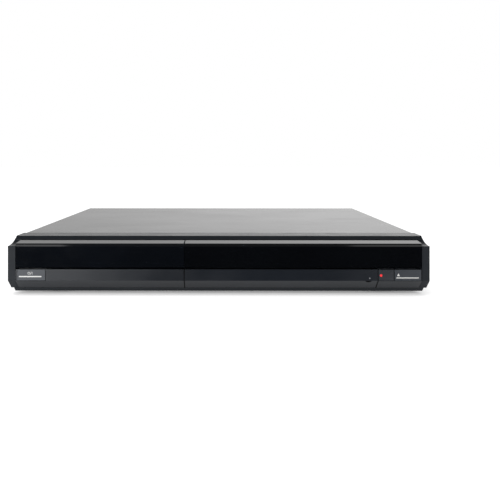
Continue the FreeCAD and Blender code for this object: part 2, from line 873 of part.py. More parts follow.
def fascia_end_profile():
    """Side view of the web that closes a fascia and carries the flap's pin."""
    return [
        side("fascia_wall / 2", "lower_top - fascia_top_wall / 2"),
        side("fascia_wall / 2", "bevel_top + fascia_wall / 2"),
        side(f"{bevel('fascia_bottom')} + fascia_wall / 2", "fascia_bottom + fascia_wall / 4"),
        side("recess_depth - gap", "fascia_bottom + fascia_wall / 4"),
        side("recess_depth - gap", "lower_top - fascia_top_wall / 2"),
    ]


def fascia(label, left, right, web_left, openings):
    """Fixed lower fascia with its flap bearing web and its button openings."""
    body = piece(label)
    extrude(body, "YZ", left, right, [fascia_profile()])
    extrude(body, "YZ", web_left, f"{web_left} + fascia_end", [fascia_end_profile()])
    carve(body, "YZ", web_left, f"{web_left} + fascia_end",
          circles=[(behind("flap_pivot_depth"), "flap_pivot_height", "flap_pin + pin_play")])
    carve(body, "XZ", behind("0"), behind("button_skirt + button_travel + gap"),
          [rectangle(low, "bevel_top", high, "lower_top") for low, high in openings])


def left_fascia():
    """Fascia under the tray bezel, open for the power button."""
    fascia("left_fascia", f"-{CHEEK_INNER} + gap", "tray_seam - gap / 2",
           "(tray_seam - gap / 2 - fascia_end)",
           [("power_left - button_gap", "power_right + button_gap")])


def right_fascia():
    """Fascia at the right end, open for the record and open/close buttons."""
    fascia("right_fascia", "flap_right + gap / 2", f"{CHEEK_INNER} - gap",
           "(flap_right + gap / 2)",
           [("flap_right + gap / 2", "open_right + button_gap")])


def front_flap():
    """Drop-down flap: band and bevel like the fascias, with a hinge pin at each end."""
    body = piece("front_flap")
    left = "(tray_seam + gap / 2)"
    right = "(flap_right - gap / 2)"
    extrude(body, "YZ", left, right, [[
        side("0", "lower_top"),
        side("0", "bevel_top"),
        side(bevel("fascia_bottom"), "fascia_bottom"),
        side(f"{bevel('fascia_bottom')} + fascia_wall * sqrt(0.5)",
             "fascia_bottom + fascia_wall * sqrt(0.5)"),
        side("fascia_wall", "bevel_top + fascia_wall * (sqrt(2) - 1)"),
        side("fascia_wall", "lower_top"),
    ]])
    pivot = (behind("flap_pivot_depth"), "flap_pivot_height")
    extrude(body, "YZ", left, f"{left} + flap_boss_width", circles=[(*pivot, "flap_boss")])
    extrude(body, "YZ", f"{right} - flap_boss_width", right, circles=[(*pivot, "flap_boss")])
    extrude(body, "YZ", f"{left} - flap_pin_length", f"{left} + flap_boss_width / 2",
            circles=[(*pivot, "flap_pin")])
    extrude(body, "YZ", f"{right} - flap_boss_width / 2", f"{right} + flap_pin_length",
            circles=[(*pivot, "flap_pin")])
    carve(body, "XZ", behind("0"), behind("notch_depth"), [[
        ("notch_x - notch_width / 2", "bevel_top"),
        Via("notch_x", "bevel_top - notch_height"),
        ("notch_x + notch_width / 2", "bevel_top"),
    ]])


def panel_button(label, left, right):
    """Hollow moulded cap of a front button with the stem that reaches its switch."""
    body = piece(label)
    low = "(bevel_top + button_gap)"
    high = "(lower_top - button_gap)"
    middle = f"(({left} + {right}) / 2)"
    extrude(body, "XZ", behind("0"), behind("button_skirt"), [rectangle(left, low, right, high)])
    carve(body, "XZ", behind("button_wall"), behind("button_skirt"),
          [rectangle(f"{left} + button_wall", f"{low} + button_wall",
                     f"{right} - button_wall", f"{high} - button_wall")])
    extrude(body, "XZ", behind("button_wall"),
            behind("wall_depth - button_board_wall - switch_height - switch_air"),
            [around(middle, f"({low} + {high}) / 2", "button_stem", "button_stem")])


def power_button():
    """Power button at the left end."""
    panel_button("power_button", "power_left", "power_right")


def record_button():
    """Record button beside the flap."""
    panel_button("record_button", "(flap_right + gap / 2 + button_gap)", "record_right")


def open_close_button():
    """Open and close button at the right end."""
    panel_button("open_close_button", "(record_right + button_gap + button_gap)", "open_right")


def small_buttons():
    """The four buttons behind the flap, each with a collar that keeps it in the panel."""
    for index, label in enumerate(SMALL_BUTTONS):
        body = piece(label)
        x = small_button_x(index)
        half = ("small_button_width / 2", "small_button_height / 2")
        extrude(body, "XZ", behind("recess_depth - small_button_reach"),
                behind("recess_depth + recess_wall + gap"), [around(x, "socket_height", *half)])
        extrude(body, "XZ", behind("recess_depth + recess_wall + gap"),
                behind("front_board_depth - switch_height - switch_air"),
                [around(x, "socket_height", "(small_button_width / 2 + sheet)",
                        "(small_button_height / 2 + sheet)")])


def button_boards():
    """Circuit boards behind the power button and behind the two right-hand buttons."""
    members = []
    for label, left, right in (
        ("left_button_board", "power_left", "power_right + board_inset"),
        ("right_button_board", "flap_right + fascia_end + button_board_inset", "open_right"),
    ):
        body = helper(label)
        extrude(body, "XZ", behind("wall_depth - button_board_wall"), behind("wall_depth"),
                [rectangle(left, "fascia_bottom + button_board_inset", right,
                           "lower_top - fascia_top_wall - gap")])
        members.append(body)
    group("button_boards", members)


def tact_switches():
    """Small switches that the button stems press."""
    height = "((bevel_top + lower_top) / 2)"
    record_middle = "((flap_right + gap / 2 + button_gap + record_right) / 2)"
    open_middle = "((record_right + button_gap + button_gap + open_right) / 2)"
    spots = [(middle, height, "(wall_depth - button_board_wall)")
             for middle in ("((power_left + power_right) / 2)", record_middle, open_middle)]
    spots += [(small_button_x(index), "socket_height", "front_board_depth")
              for index in range(len(SMALL_BUTTONS))]
    members = []
    for index, (x, z, depth) in enumerate(spots):
        body = helper(f"tact_switch_{index}")
        extrude(body, "XZ", behind(f"({depth} - switch_height + sheet)"), behind(depth),
                [around(x, z, "switch_side / 2", "switch_side / 2")])
        extrude(body, "XZ", behind(f"({depth} - switch_height)"),
                behind(f"({depth} - switch_height + sheet)"),
                [around(x, z, "switch_plunger", "switch_plunger")])
        members.append(body)
    group("tact_switches", members)


def front_board():
    """Circuit board behind the jack recess."""
    body = piece("front_board")
    extrude(body, "XZ", behind("front_board_depth"), behind("front_board_depth + front_board_wall"), [
        rectangle("tray_seam + panel_wall", "front_board_bottom", "flap_right - panel_wall", "lower_top"),
        around("usb_x", "socket_height", "(usb_width / 2 + gap)", "(usb_height / 2 + gap)"),
        around("dv_x", "socket_height", "(dv_width / 2 + gap)", "(dv_height / 2 + gap)"),
    ])


def phono_jack(label, x, y, z, outward, reach, box):
    """Phono jack: square collar in the panel, barrel with its centre contact, housing behind."""
    body = helper(label)
    extrude(body, "XZ", box[0], box[1], [around(x, z, "jack_box", "jack_box")])
    back = f"({y} - {outward} * (recess_wall + gap))"
    face = f"({y} + {outward} * jack_collar_reach)"
    low, high = (back, face) if outward == "1" else (face, back)
    extrude(body, "XZ", low, high, [around(x, z, "jack_collar", "jack_collar")])
    turn(body, "Y", (x, y, z), [
        ("0", "0"),
        ("jack_barrel", "0"),
        ("jack_barrel", f"{outward} * {reach}"),
        ("jack_contact", f"{outward} * {reach}"),
        ("jack_contact", f"{outward} * jack_collar_reach"),
        ("0", f"{outward} * jack_collar_reach"),
    ])
    return body


def front_av_jacks():
    """Video and two audio inputs behind the flap."""
    box = (behind("recess_depth + recess_wall"), behind("front_board_depth"))
    members = [
        phono_jack(f"front_av_jack_{index}", x, behind("recess_depth"), "socket_height", "-1",
                   "front_jack_reach", box)
        for index, x in enumerate(FRONT_JACKS)
    ]
    group("front_av_jacks", members)


def s_video_socket():
    """Round socket with a raised rim and a square key in its well."""
    body = piece("s_video_socket")
    turn(body, "Y", ("svideo_x", behind("recess_depth"), "socket_height"), [
        ("0", "front_board_depth - recess_depth"),
        ("svideo_radius", "front_board_depth - recess_depth"),
        ("svideo_radius", "-1 * svideo_wall"),
        ("svideo_radius - svideo_wall", "-1 * svideo_wall"),
        ("svideo_radius - svideo_wall", "svideo_depth - svideo_wall - svideo_wall"),
        ("0", "svideo_depth - svideo_wall - svideo_wall"),
    ])
    extrude(body, "XZ", behind("recess_depth + svideo_wall"),
            behind("recess_depth + svideo_depth - svideo_wall"),
            [around("svideo_x", "(socket_height - svideo_key / 2)", "svideo_key / 2", "svideo_key / 3")])


def slot_socket(label, x, width, height, depth):
    """Metal shelled socket with a plastic tongue in its mouth."""
    body = helper(label)
    extrude(body, "XZ", behind("recess_depth - socket_shell"), behind(f"recess_depth + {depth}"),
            [around(x, "socket_height", f"({width} / 2)", f"({height} / 2)")])
    carve(body, "XZ", behind("recess_depth - socket_shell"),
          behind(f"recess_depth + {depth} - socket_tongue"),
          [around(x, "socket_height", f"({width} / 2 - socket_shell)", f"({height} / 2 - socket_shell)")])
    extrude(body, "XZ", behind("recess_depth + socket_shell"),
            behind(f"recess_depth + {depth} - socket_shell"),
            [around(x, "socket_height", f"({width} / 2 - socket_shell - socket_tongue)",
                    "socket_tongue / 2")])
    return body


def front_data_sockets():
    """USB and camcorder sockets behind the flap."""
    group("front_data_sockets", [
        slot_socket("usb_socket", "usb_x", "usb_width", "usb_height", "usb_depth"),
        slot_socket("dv_socket", "dv_x", "dv_width", "dv_height", "dv_depth"),
    ])


def card_slot():
    """Memory card slot behind the flap."""
    body = piece("card_slot")
    extrude(body, "XZ", behind("recess_depth - socket_shell"), behind("front_board_depth"),
            [around("card_x", "socket_height", "(card_width / 2)", "(card_height / 2)")])
    carve(body, "XZ", behind("recess_depth - socket_shell"), behind("front_board_depth - socket_shell"),
          [around("card_x", "socket_height", "(card_width / 2 - socket_shell)",
                  "(card_height / 2 - socket_shell)")])


def display_module():
    """Display tube seen through the window."""
    body = piece("display_module")
    extrude(body, "XZ", behind("display_front"), behind("front_board_depth"),
            [rectangle("display_x - display_width / 2", "display_bottom",
                       "display_x + display_width / 2", "display_bottom + display_height")])
    carve(body, "XZ", behind("display_front"), behind("display_front + socket_shell"),
          [rectangle("display_x - display_width / 2 + socket_tongue", "display_bottom + socket_tongue",
                     "display_x + display_width / 2 - socket_tongue",
                     "display_bottom + display_height - socket_tongue")])


def display_board():
    """Circuit board that carries the display."""
    body = piece("display_board")
    extrude(body, "XZ", behind("front_board_depth"), behind("front_board_depth + front_board_wall"),
            [rectangle("display_x - display_board_width / 2", f"{BAND_BOTTOM} + gap",
                       "display_x + display_board_width / 2", "display_board_top")])


def side_screw_holes():
    """Square punched holes for the side screws."""
    return [around(behind(depth), "side_screw_height", SCREW_HOLE, SCREW_HOLE)
            for depth in ("side_screw_front", "side_screw_rear")]


def top_cover():
    """Folded steel cover: top, two sides and a lip over the rear panel."""
    body = piece("top_cover")
    start = behind("flange_depth + gap / 2")
    outer = [
        (f"-{COVER_HALF}", "cover_bottom"),
        (f"-{COVER_HALF} + cover_wall", "cover_bottom"),
        (f"-{COVER_HALF} + cover_wall", "height - cover_bend"),
        Via(f"-{COVER_HALF} + cover_bend - (cover_bend - cover_wall) * sqrt(0.5)",
            "height - cover_bend + (cover_bend - cover_wall) * sqrt(0.5)"),
        (f"-{COVER_HALF} + cover_bend", "height - cover_wall"),
        (f"{COVER_HALF} - cover_bend", "height - cover_wall"),
        Via(f"{COVER_HALF} - cover_bend + (cover_bend - cover_wall) * sqrt(0.5)",
            "height - cover_bend + (cover_bend - cover_wall) * sqrt(0.5)"),
        (f"{COVER_HALF} - cover_wall", "height - cover_bend"),
        (f"{COVER_HALF} - cover_wall", "cover_bottom"),
        (COVER_HALF, "cover_bottom"),
        (COVER_HALF, "height - cover_bend"),
        Via(f"{COVER_HALF} - cover_bend + cover_bend * sqrt(0.5)",
            "height - cover_bend + cover_bend * sqrt(0.5)"),
        (f"{COVER_HALF} - cover_bend", "height"),
        (f"-{COVER_HALF} + cover_bend", "height"),
        Via(f"-{COVER_HALF} + cover_bend - cover_bend * sqrt(0.5)",
            "height - cover_bend + cover_bend * sqrt(0.5)"),
        (f"-{COVER_HALF}", "height - cover_bend"),
    ]
    extrude(body, "XZ", start, REAR, [outer])
    extrude(body, "XZ", REAR, f"{REAR} + cover_wall",
            [rectangle(f"-{COVER_HALF} + cover_bend", "height - cover_lip",
                       f"{COVER_HALF} - cover_bend", "height")])
    carve(body, "YZ", f"-{COVER_HALF}", COVER_HALF, side_screw_holes())
    carve(body, "XZ", REAR, f"{REAR} + cover_wall",
          [around(x, "(height - rear_screw_drop)", SCREW_HOLE, SCREW_HOLE) for x in REAR_SCREWS])
    slot = carve(body, "YZ", f"-{COVER_HALF}", COVER_HALF,
                 [rectangle("0", "vent_bottom", "vent_width", "vent_bottom + vent_height")],
                 centre=(behind("vent_start"), "0"))
    row_pattern(body, slot, "H_Axis", "vent_pitch", "vent_count")


def bottom_chassis():
    """Folded steel tray with stand-offs for the boards and the drive, and floor vents."""
    body = piece("bottom_chassis")
    front = behind("chassis_front")
    rear = f"({REAR} - sheet)"
    inner = f"({COVER_INNER} - sheet)"
    block(body, (f"-{COVER_INNER}", COVER_INNER), (front, rear), ("floor_height", FLOOR))
    flanges = [
        rectangle(f"-{COVER_INNER}", behind("flange_depth"), f"-{inner}", rear),
        rectangle(inner, behind("flange_depth"), COVER_INNER, rear),
    ]
    extrude(body, "XY", FLOOR, f"{FLOOR} + chassis_flange", flanges)
    extrude(body, "XY", FLOOR, f"{FLOOR} + chassis_front_flange",
            [rectangle(f"-{inner} + cheek_width", front, f"{inner} - cheek_width", f"{front} + sheet")])
    extrude(body, "XY", FLOOR, f"{FLOOR} + board_lift",
            [around(x, y, "standoff_half", "standoff_half") for x, y in STANDOFFS])
    carve(body, "YZ", f"-{COVER_INNER}", COVER_INNER, side_screw_holes())
    slots = [
        rectangle("transformer_x - floor_vent_width / 2", "0",
                  "transformer_x + floor_vent_width / 2", "floor_vent_height"),
        rectangle("chip_x - floor_vent_width / 2", "0",
                  "chip_x + floor_vent_width / 2", "floor_vent_height"),
    ]
    slot = carve(body, "XY", "floor_height", FLOOR, slots,
                 centre=("0", behind("supply_front + floor_vent_pitch")))
    row_pattern(body, slot, "V_Axis", "floor_vent_pitch", "floor_vent_count")


def grille_slots():
    """Horizontal slots that fill the fan's circle on the rear panel."""
    slots = []
    for step in range(-3, 4):
        low = f"({step} * grille_pitch - grille_bar / 2)"
        high = f"({step} * grille_pitch + grille_bar / 2)"
        reach = f"sqrt(fan_bore * fan_bore - (abs({step}) * grille_pitch + grille_bar / 2)^2)"
        slots.append(rectangle(f"fan_x - {reach}", f"fan_height + {low}",
                               f"fan_x + {reach}", f"fan_height + {high}"))
    return slots


def scart_outline(z, shrink):
    """Face outline of a SCART socket with its slanted corner."""
    left = f"(scart_x - scart_half + {shrink})"
    right = f"(scart_x + scart_half - {shrink})"
    low = f"({z} - scart_rise + {shrink})"
    high = f"({z} + scart_rise - {shrink})"
    return [(left, low), (f"{right} - scart_corner", low), (right, f"{low} + scart_corner"),
            (right, high), (left, high)]


def hdmi_outline(shrink):
    """Face outline of the HDMI socket with its two slanted lower corners."""
    left = f"(hdmi_x - hdmi_width / 2 + {shrink})"
    right = f"(hdmi_x + hdmi_width / 2 - {shrink})"
    low = f"(hdmi_socket_height - hdmi_height / 2 + {shrink})"
    high = f"(hdmi_socket_height + hdmi_height / 2 - {shrink})"
    return [(f"{left} + hdmi_corner", low), (f"{right} - hdmi_corner", low),
            (right, f"{low} + hdmi_corner"), (right, high), (left, high),
            (left, f"{low} + hdmi_corner")]


def rear_panel():
    """Rear steel panel with its folded foot, fan grille and connector holes."""
    body = piece("rear_panel")
    top = "(height - cover_wall - gap)"
    extrude(body, "XZ", f"{REAR} - sheet", REAR, [[
        (f"-{COVER_INNER}", "floor_height"),
        (COVER_INNER, "floor_height"),
        (COVER_INNER, f"{top} - cover_bend"),
        (f"{COVER_INNER} - cover_bend", top),
        (f"-{COVER_INNER} + cover_bend", top),
        (f"-{COVER_INNER}", f"{top} - cover_bend"),
    ]])
    block(body, (f"-{COVER_INNER} + sheet + gap", f"{COVER_INNER} - sheet - gap"),
          (f"{REAR} - rear_foot", f"{REAR} - sheet"), (FLOOR, f"{FLOOR} + sheet"))
    loops = grille_slots()
    loops.append(around("inlet_x", "inlet_height", "(inlet_half + gap)", "(inlet_rise + gap)"))
    loops.append(around("optical_x", "(rear_jack_low + rear_jack_rise)", "(optical_half + gap)",
                        "(optical_half + gap)"))
    loops.append(hdmi_outline("-1 * gap"))
    loops += [scart_outline(z, "-1 * gap") for z in SCARTS]
    loops += [around(x, z, "(jack_collar + gap)", "(jack_collar + gap)") for x, z in REAR_JACKS]
    loops += [around(x, "(height - rear_screw_drop)", SCREW_HOLE, SCREW_HOLE) for x in REAR_SCREWS]
    rounds = [("tuner_x", z, "tuner_collar + gap") for z in TUNER_BARRELS]
    carve(body, "XZ", f"{REAR} - sheet", REAR, loops, rounds)


def feet():
    """Four round feet with a hollow underside."""
    members = []
    for index, (x, y) in enumerate(FEET):
        body = helper(f"foot_{index}")
        turn(body, "Z", (x, y, "0"), [
            ("0", "foot_hollow_height"),
            ("foot_hollow", "foot_hollow_height"),
            ("foot_hollow", "0"),
            ("foot_base", "0"),
            ("foot_radius", "floor_height"),
            ("0", "floor_height"),
        ])
        members.append(body)
    group("feet", members)


def screw(label, axis, centre, outward):
    """Pan head screw with its head on the outward side."""
    body = helper(label)
    turn(body, axis, centre, [
        ("0", f"{outward} * -1 * screw_length"),
        ("screw_shank", f"{outward} * -1 * screw_length"),
        ("screw_shank", "0"),
        ("screw_head", "0"),
        ("screw_head - screw_chamfer", f"{outward} * screw_head_height"),
        ("0", f"{outward} * screw_head_height"),
    ])
    return body


def cover_screws():
    """Screws that hold the cover to the chassis sides and the rear panel."""
    members = [
        screw(f"side_screw_{index}", "X",
              (f"{sign} * {COVER_HALF}", behind(depth), "side_screw_height"), sign)
        for index, (sign, depth) in enumerate(SIDE_SCREWS)
    ]
    members += [
        screw(f"rear_screw_{index}", "Y", (x, f"{REAR} + cover_wall", "height - rear_screw_drop"), "1")
        for index, x in enumerate(REAR_SCREWS)
    ]
    group("cover_screws", members)


def drive_chassis():
    """Drive frame: floor, walls, tray rails, gear axles and the traverse bearings."""
    body = piece("drive_chassis")
    left, front, right, rear = DRIVE_FOOTPRINT
    block(body, (left, right), (front, rear), (DRIVE_BOTTOM, DRIVE_FLOOR))
    walls = [
        rectangle(left, front, f"{left} + drive_wall", rear),
        rectangle(f"{right} - drive_wall", front, right, rear),
    ]
    extrude(body, "XY", DRIVE_FLOOR, DRIVE_TOP, walls)
    block(body, (f"{left} + drive_wall", f"{right} - drive_wall"), (f"{rear} - drive_wall", rear),
          (DRIVE_FLOOR, f"{DRIVE_TOP} - drive_wall"))
    rail_top = f"({TRAY_TOP} - runner_low - rail_clear)"
    extrude(body, "XY", f"{rail_top} - rail_height", rail_top, [
        rectangle(f"{left} + drive_wall", front, f"{left} + drive_wall + rail_reach", rear),
        rectangle(f"{right} - drive_wall - rail_reach", front, f"{right} - drive_wall", rear),
    ])
    extrude(body, "XY", DRIVE_FLOOR, f"{WHEEL_BOTTOM} - gap",
            circles=[(GEAR_X, behind("gear_depth"), "axle_foot"),
                     (PULLEY_X, behind("gear_depth"), "axle_foot")])
    extrude(body, "XY", f"{WHEEL_BOTTOM} - gap", f"{PINION_TOP} - gap",
            circles=[(GEAR_X, behind("gear_depth"), "gear_axle")])
    extrude(body, "XY", f"{WHEEL_BOTTOM} - gap", f"{PULLEY_TOP} - gap",
            circles=[(PULLEY_X, behind("gear_depth"), "gear_axle")])
    post_top = f"({PIVOT_HEIGHT} + trunnion_radius + traverse_rail)"
    reach = "(traverse_half + gap + post_wall)"
    posts = [
        rectangle(f"{TRAY_X} - {reach}", behind("traverse_pivot - post_length / 2"),
                  f"{TRAY_X} - traverse_half - gap", behind("traverse_pivot + post_length / 2")),
        rectangle(f"{TRAY_X} + traverse_half + gap", behind("traverse_pivot - post_length / 2"),
                  f"{TRAY_X} + {reach}", behind("traverse_pivot + post_length / 2")),
    ]
    extrude(body, "XY", DRIVE_FLOOR, post_top, posts)
    carve(body, "YZ", f"{TRAY_X} - {reach}", f"{TRAY_X} + {reach}",
          circles=[(behind("traverse_pivot"), PIVOT_HEIGHT, "trunnion_radius + pin_play")])


def drive_top_plate():
    """Steel plate over the drive with the clamper's hole."""
    body = piece("drive_top_plate")
    left, front, right, rear = DRIVE_FOOTPRINT
    extrude(body, "XY", DRIVE_TOP, f"{DRIVE_TOP} + drive_plate", [rectangle(left, front, right, rear)],
            [(TRAY_X, behind("disc_depth"), "clamper_radius + clamper_play")])


def disc_tray():
    """Tray with disc recesses, pickup slot, side runners and the toothed rack under it."""
    body = piece("disc_tray")
    front = behind("gloss_wall")
    rear = behind("(gloss_wall + tray_length)")
    left = f"({TRAY_X} - tray_half)"
    right = f"({TRAY_X} + tray_half)"
    centre = (TRAY_X, behind("disc_depth"))
    block(body, (left, right), (front, rear), (TRAY_BOTTOM, TRAY_TOP))
    block(body, (f"{TRAY_X} - runner_half", f"{TRAY_X} + runner_half"), (behind("drive_front"), rear),
          (f"{TRAY_TOP} - runner_low", f"{TRAY_TOP} - runner_high"))
    extrude(body, "XY", f"{TRAY_BOTTOM} - tray_rib_drop", TRAY_BOTTOM, [
        rectangle(left, front, f"{left} + tray_rib", rear),
        rectangle(f"{right} - tray_rib", front, right, rear),
    ])
    block(body, (left, right), (front, f"{front} + tray_rib"),
          (TRAY_BOTTOM, f"{TRAY_TOP} + tray_front_rise"))
    carve(body, "XY", f"{TRAY_TOP} - disc_recess_drop", TRAY_TOP,
          circles=[(*centre, "disc_recess_radius")])
    carve(body, "XY", f"{TRAY_TOP} - small_recess_drop", f"{TRAY_TOP} - disc_recess_drop",
          circles=[(*centre, "small_recess_radius")])
    carve(body, "XY", f"{TRAY_TOP} - small_recess_drop", TRAY_TOP,
          circles=[(TRAY_X, behind("(disc_depth - disc_recess_radius)"), "thumb_radius")])
    carve(body, "XY", f"{TRAY_TOP} - disc_recess_drop", TRAY_TOP,
          [rectangle(f"{TRAY_X} - tray_pocket_half", behind("tray_pocket_start"),
                     f"{TRAY_X} + tray_pocket_half", behind("tray_pocket_end"))])
    carve(body, "XY", TRAY_BOTTOM, f"{TRAY_TOP} - small_recess_drop", circles=[(*centre, "hub_radius")])
    carve(body, "XY", TRAY_BOTTOM, TRAY_TOP,
          [rectangle(f"{TRAY_X} - slot_half", behind("disc_depth"), f"{TRAY_X} + slot_half",
                     behind("slot_end"))])
    pitch = "(rack_module * pi)"
    start = behind(f"(gear_depth - rack_lead * {pitch})")
    block(body, (f"{RACK_X} - rack_module", f"{RACK_X} + rack_back"),
          (f"{start} - {pitch} / 2", f"{start} + (rack_gaps - 0.5) * {pitch}"),
          (f"{TRAY_BOTTOM} - rack_drop", TRAY_BOTTOM))
    root = "(rack_module * dedendum)"
    tip = "(rack_module + gap)"
    root_half = f"({pitch} / 4 + backlash / 2 - {root} * tan(pressure_angle))"
    tip_half = f"({pitch} / 4 + backlash / 2 + {tip} * tan(pressure_angle))"
    space = carve(body, "XY", f"{TRAY_BOTTOM} - rack_drop", TRAY_BOTTOM, [[
        (root, f"-{root_half}"),
        (root, root_half),
        (f"-{tip}", tip_half),
        (f"-{tip}", f"-{tip_half}"),
    ]], centre=(RACK_X, start))
    row_pattern(body, space, "V_Axis", pitch, "rack_gaps")


def flank(base, roll, rotation, mirrored):
    """Point of an involute flank, unrolled by an angle and turned about the gear's centre."""
    angle = f"({roll} * 180 / pi)"
    along = f"({base} * (cos({angle}) + {roll} * sin({angle})))"
    across = f"({mirrored} * {base} * (sin({angle}) - {roll} * cos({angle})))"
    return (f"{along} * cos({rotation}) - {across} * sin({rotation})",
            f"{along} * sin({rotation}) + {across} * cos({rotation})")


def toothed_wheel(body, x, y, low, high, module, count, phase):
    """Spur gear with involute flanks; phase turns its first tooth space away from +X."""
    pitch = f"({module} * {count} / 2)"
    base = f"({pitch} * cos(pressure_angle))"
    tip = f"({pitch} + {module})"
    root = f"({pitch} - dedendum * {module})"
    outside = f"({tip} + {module})"
    extrude(body, "XY", low, high, circles=[("0", "0", tip)], centre=(x, y))
    half = (f"(90 / {count} - tan(pressure_angle) * 180 / pi + pressure_angle"
            f" + backlash * 90 / pi / {pitch})")
    full_roll = f"sqrt((({tip} + backlash) / {base})^2 - 1)"
    mid_roll = f"({full_roll} / 2)"
    upper = f"({phase} + {half})"
    lower = f"({phase} - {half})"
    space = carve(body, "XY", low, high, [[
        (f"{root} * cos({upper})", f"{root} * sin({upper})"),
        flank(base, "0", upper, "1"),
        flank(base, mid_roll, upper, "1"),
        flank(base, full_roll, upper, "1"),
        (f"{outside} * cos({upper})", f"{outside} * sin({upper})"),
        (f"{outside} * cos({lower})", f"{outside} * sin({lower})"),
        flank(base, full_roll, lower, "-1"),
        flank(base, mid_roll, lower, "-1"),
        flank(base, "0", lower, "-1"),
        (f"{root} * cos({lower})", f"{root} * sin({lower})"),
    ]], centre=(x, y))
    ring_pattern(body, space, count)


def tray_drive_gear():
    """Stepped gear: wheel below, pinion in the tray's rack above."""
    body = piece("tray_drive_gear")
    y = behind("gear_depth")
    toothed_wheel(body, GEAR_X, y, WHEEL_BOTTOM, WHEEL_TOP, "wheel_module", "wheel_teeth", "0")
    extrude(body, "XY", WHEEL_TOP, f"{PINION_TOP} - pinion_face", circles=[(GEAR_X, y, "pulley_radius / 2")])
    toothed_wheel(body, GEAR_X, y, f"{PINION_TOP} - pinion_face", PINION_TOP, "rack_module",
                  "pinion_teeth", "0")
    carve(body, "XY", WHEEL_BOTTOM, PINION_TOP, circles=[(GEAR_X, y, "gear_axle + axle_play")])


def pulley_gear():
    """Belt pulley with the small gear that drives the wheel under it."""
    body = piece("pulley_gear")
    y = behind("gear_depth")
    toothed_wheel(body, PULLEY_X, y, WHEEL_BOTTOM, PULLEY_BOTTOM, "wheel_module", "small_gear_teeth",
                  "(180 / small_gear_teeth)")
    turn(body, "Z", (PULLEY_X, y, PULLEY_BOTTOM), [
        ("gear_axle + axle_play", "0"),
        ("pulley_radius", "0"),
        ("pulley_radius", "(pulley_face - belt_wall) / 2 - belt_air"),
        ("pulley_radius - pulley_groove", "(pulley_face - belt_wall) / 2 - belt_air"),
        ("pulley_radius - pulley_groove", "(pulley_face + belt_wall) / 2 + belt_air"),
        ("pulley_radius", "(pulley_face + belt_wall) / 2 + belt_air"),
        ("pulley_radius", "pulley_face"),
        ("gear_axle + axle_play", "pulley_face"),
    ])
    carve(body, "XY", WHEEL_BOTTOM, PULLEY_BOTTOM, circles=[(PULLEY_X, y, "gear_axle + axle_play")])


def motor_pulley():
    """Grooved pulley and the motor shaft it is pressed on."""
    body = piece("motor_pulley")
    motor_top = f"({DRIVE_FLOOR} + motor_height)"
    turn(body, "Z", (PULLEY_X, behind("gear_depth + motor_pitch"), PULLEY_BOTTOM), [
        ("0", f"{motor_top} - {PULLEY_BOTTOM} - motor_shaft_sunk"),
        ("motor_shaft", f"{motor_top} - {PULLEY_BOTTOM} - motor_shaft_sunk"),
        ("motor_shaft", "0"),
        ("motor_pulley_radius", "0"),
        ("motor_pulley_radius", "(pulley_face - belt_wall) / 2 - belt_air"),
        ("motor_pulley_radius - pulley_groove", "(pulley_face - belt_wall) / 2 - belt_air"),
        ("motor_pulley_radius - pulley_groove", "(pulley_face + belt_wall) / 2 + belt_air"),
        ("motor_pulley_radius", "(pulley_face + belt_wall) / 2 + belt_air"),
        ("motor_pulley_radius", "pulley_face"),
        ("0", "pulley_face"),
    ])


def loading_motor():
    """Small upright motor that drives the belt."""
    body = piece("loading_motor")
    turn(body, "Z", (PULLEY_X, behind("gear_depth + motor_pitch"), DRIVE_FLOOR), [
        ("0", "0"),
        ("motor_radius", "0"),
        ("motor_radius", "motor_height - sheet"),
        ("motor_boss", "motor_height - sheet"),
        ("motor_boss", "motor_height"),
        ("motor_shaft + pin_play", "motor_height"),
        ("motor_shaft + pin_play", "motor_height - motor_shaft_sunk - gap"),
        ("0", "motor_height - motor_shaft_sunk - gap"),
    ])


def loading_belt():
    """Square belt round the two pulleys, with straight runs tangent to both."""
    body = piece("loading_belt")
    near = "(pulley_radius - pulley_groove + belt_air)"
    far = "(motor_pulley_radius - pulley_groove + belt_air)"
    slope = f"(({near} - {far}) / motor_pitch)"
    lean = f"sqrt(1 - {slope}^2)"

    def outline(extra):
        big = f"({near} + {extra})"
        little = f"({far} + {extra})"
        return [
            (f"-{big} * {lean}", f"{big} * {slope}"),
            Via("0", f"-{big}"),
            (f"{big} * {lean}", f"{big} * {slope}"),
            (f"{little} * {lean}", f"motor_pitch + {little} * {slope}"),
            Via("0", f"motor_pitch + {little}"),
            (f"-{little} * {lean}", f"motor_pitch + {little} * {slope}"),
        ]

    extrude(body, "XY", f"{PULLEY_BOTTOM} + (pulley_face - belt_wall) / 2",
            f"{PULLEY_BOTTOM} + (pulley_face + belt_wall) / 2",
            [outline("belt_wall"), outline("0")], centre=(PULLEY_X, behind("gear_depth")))


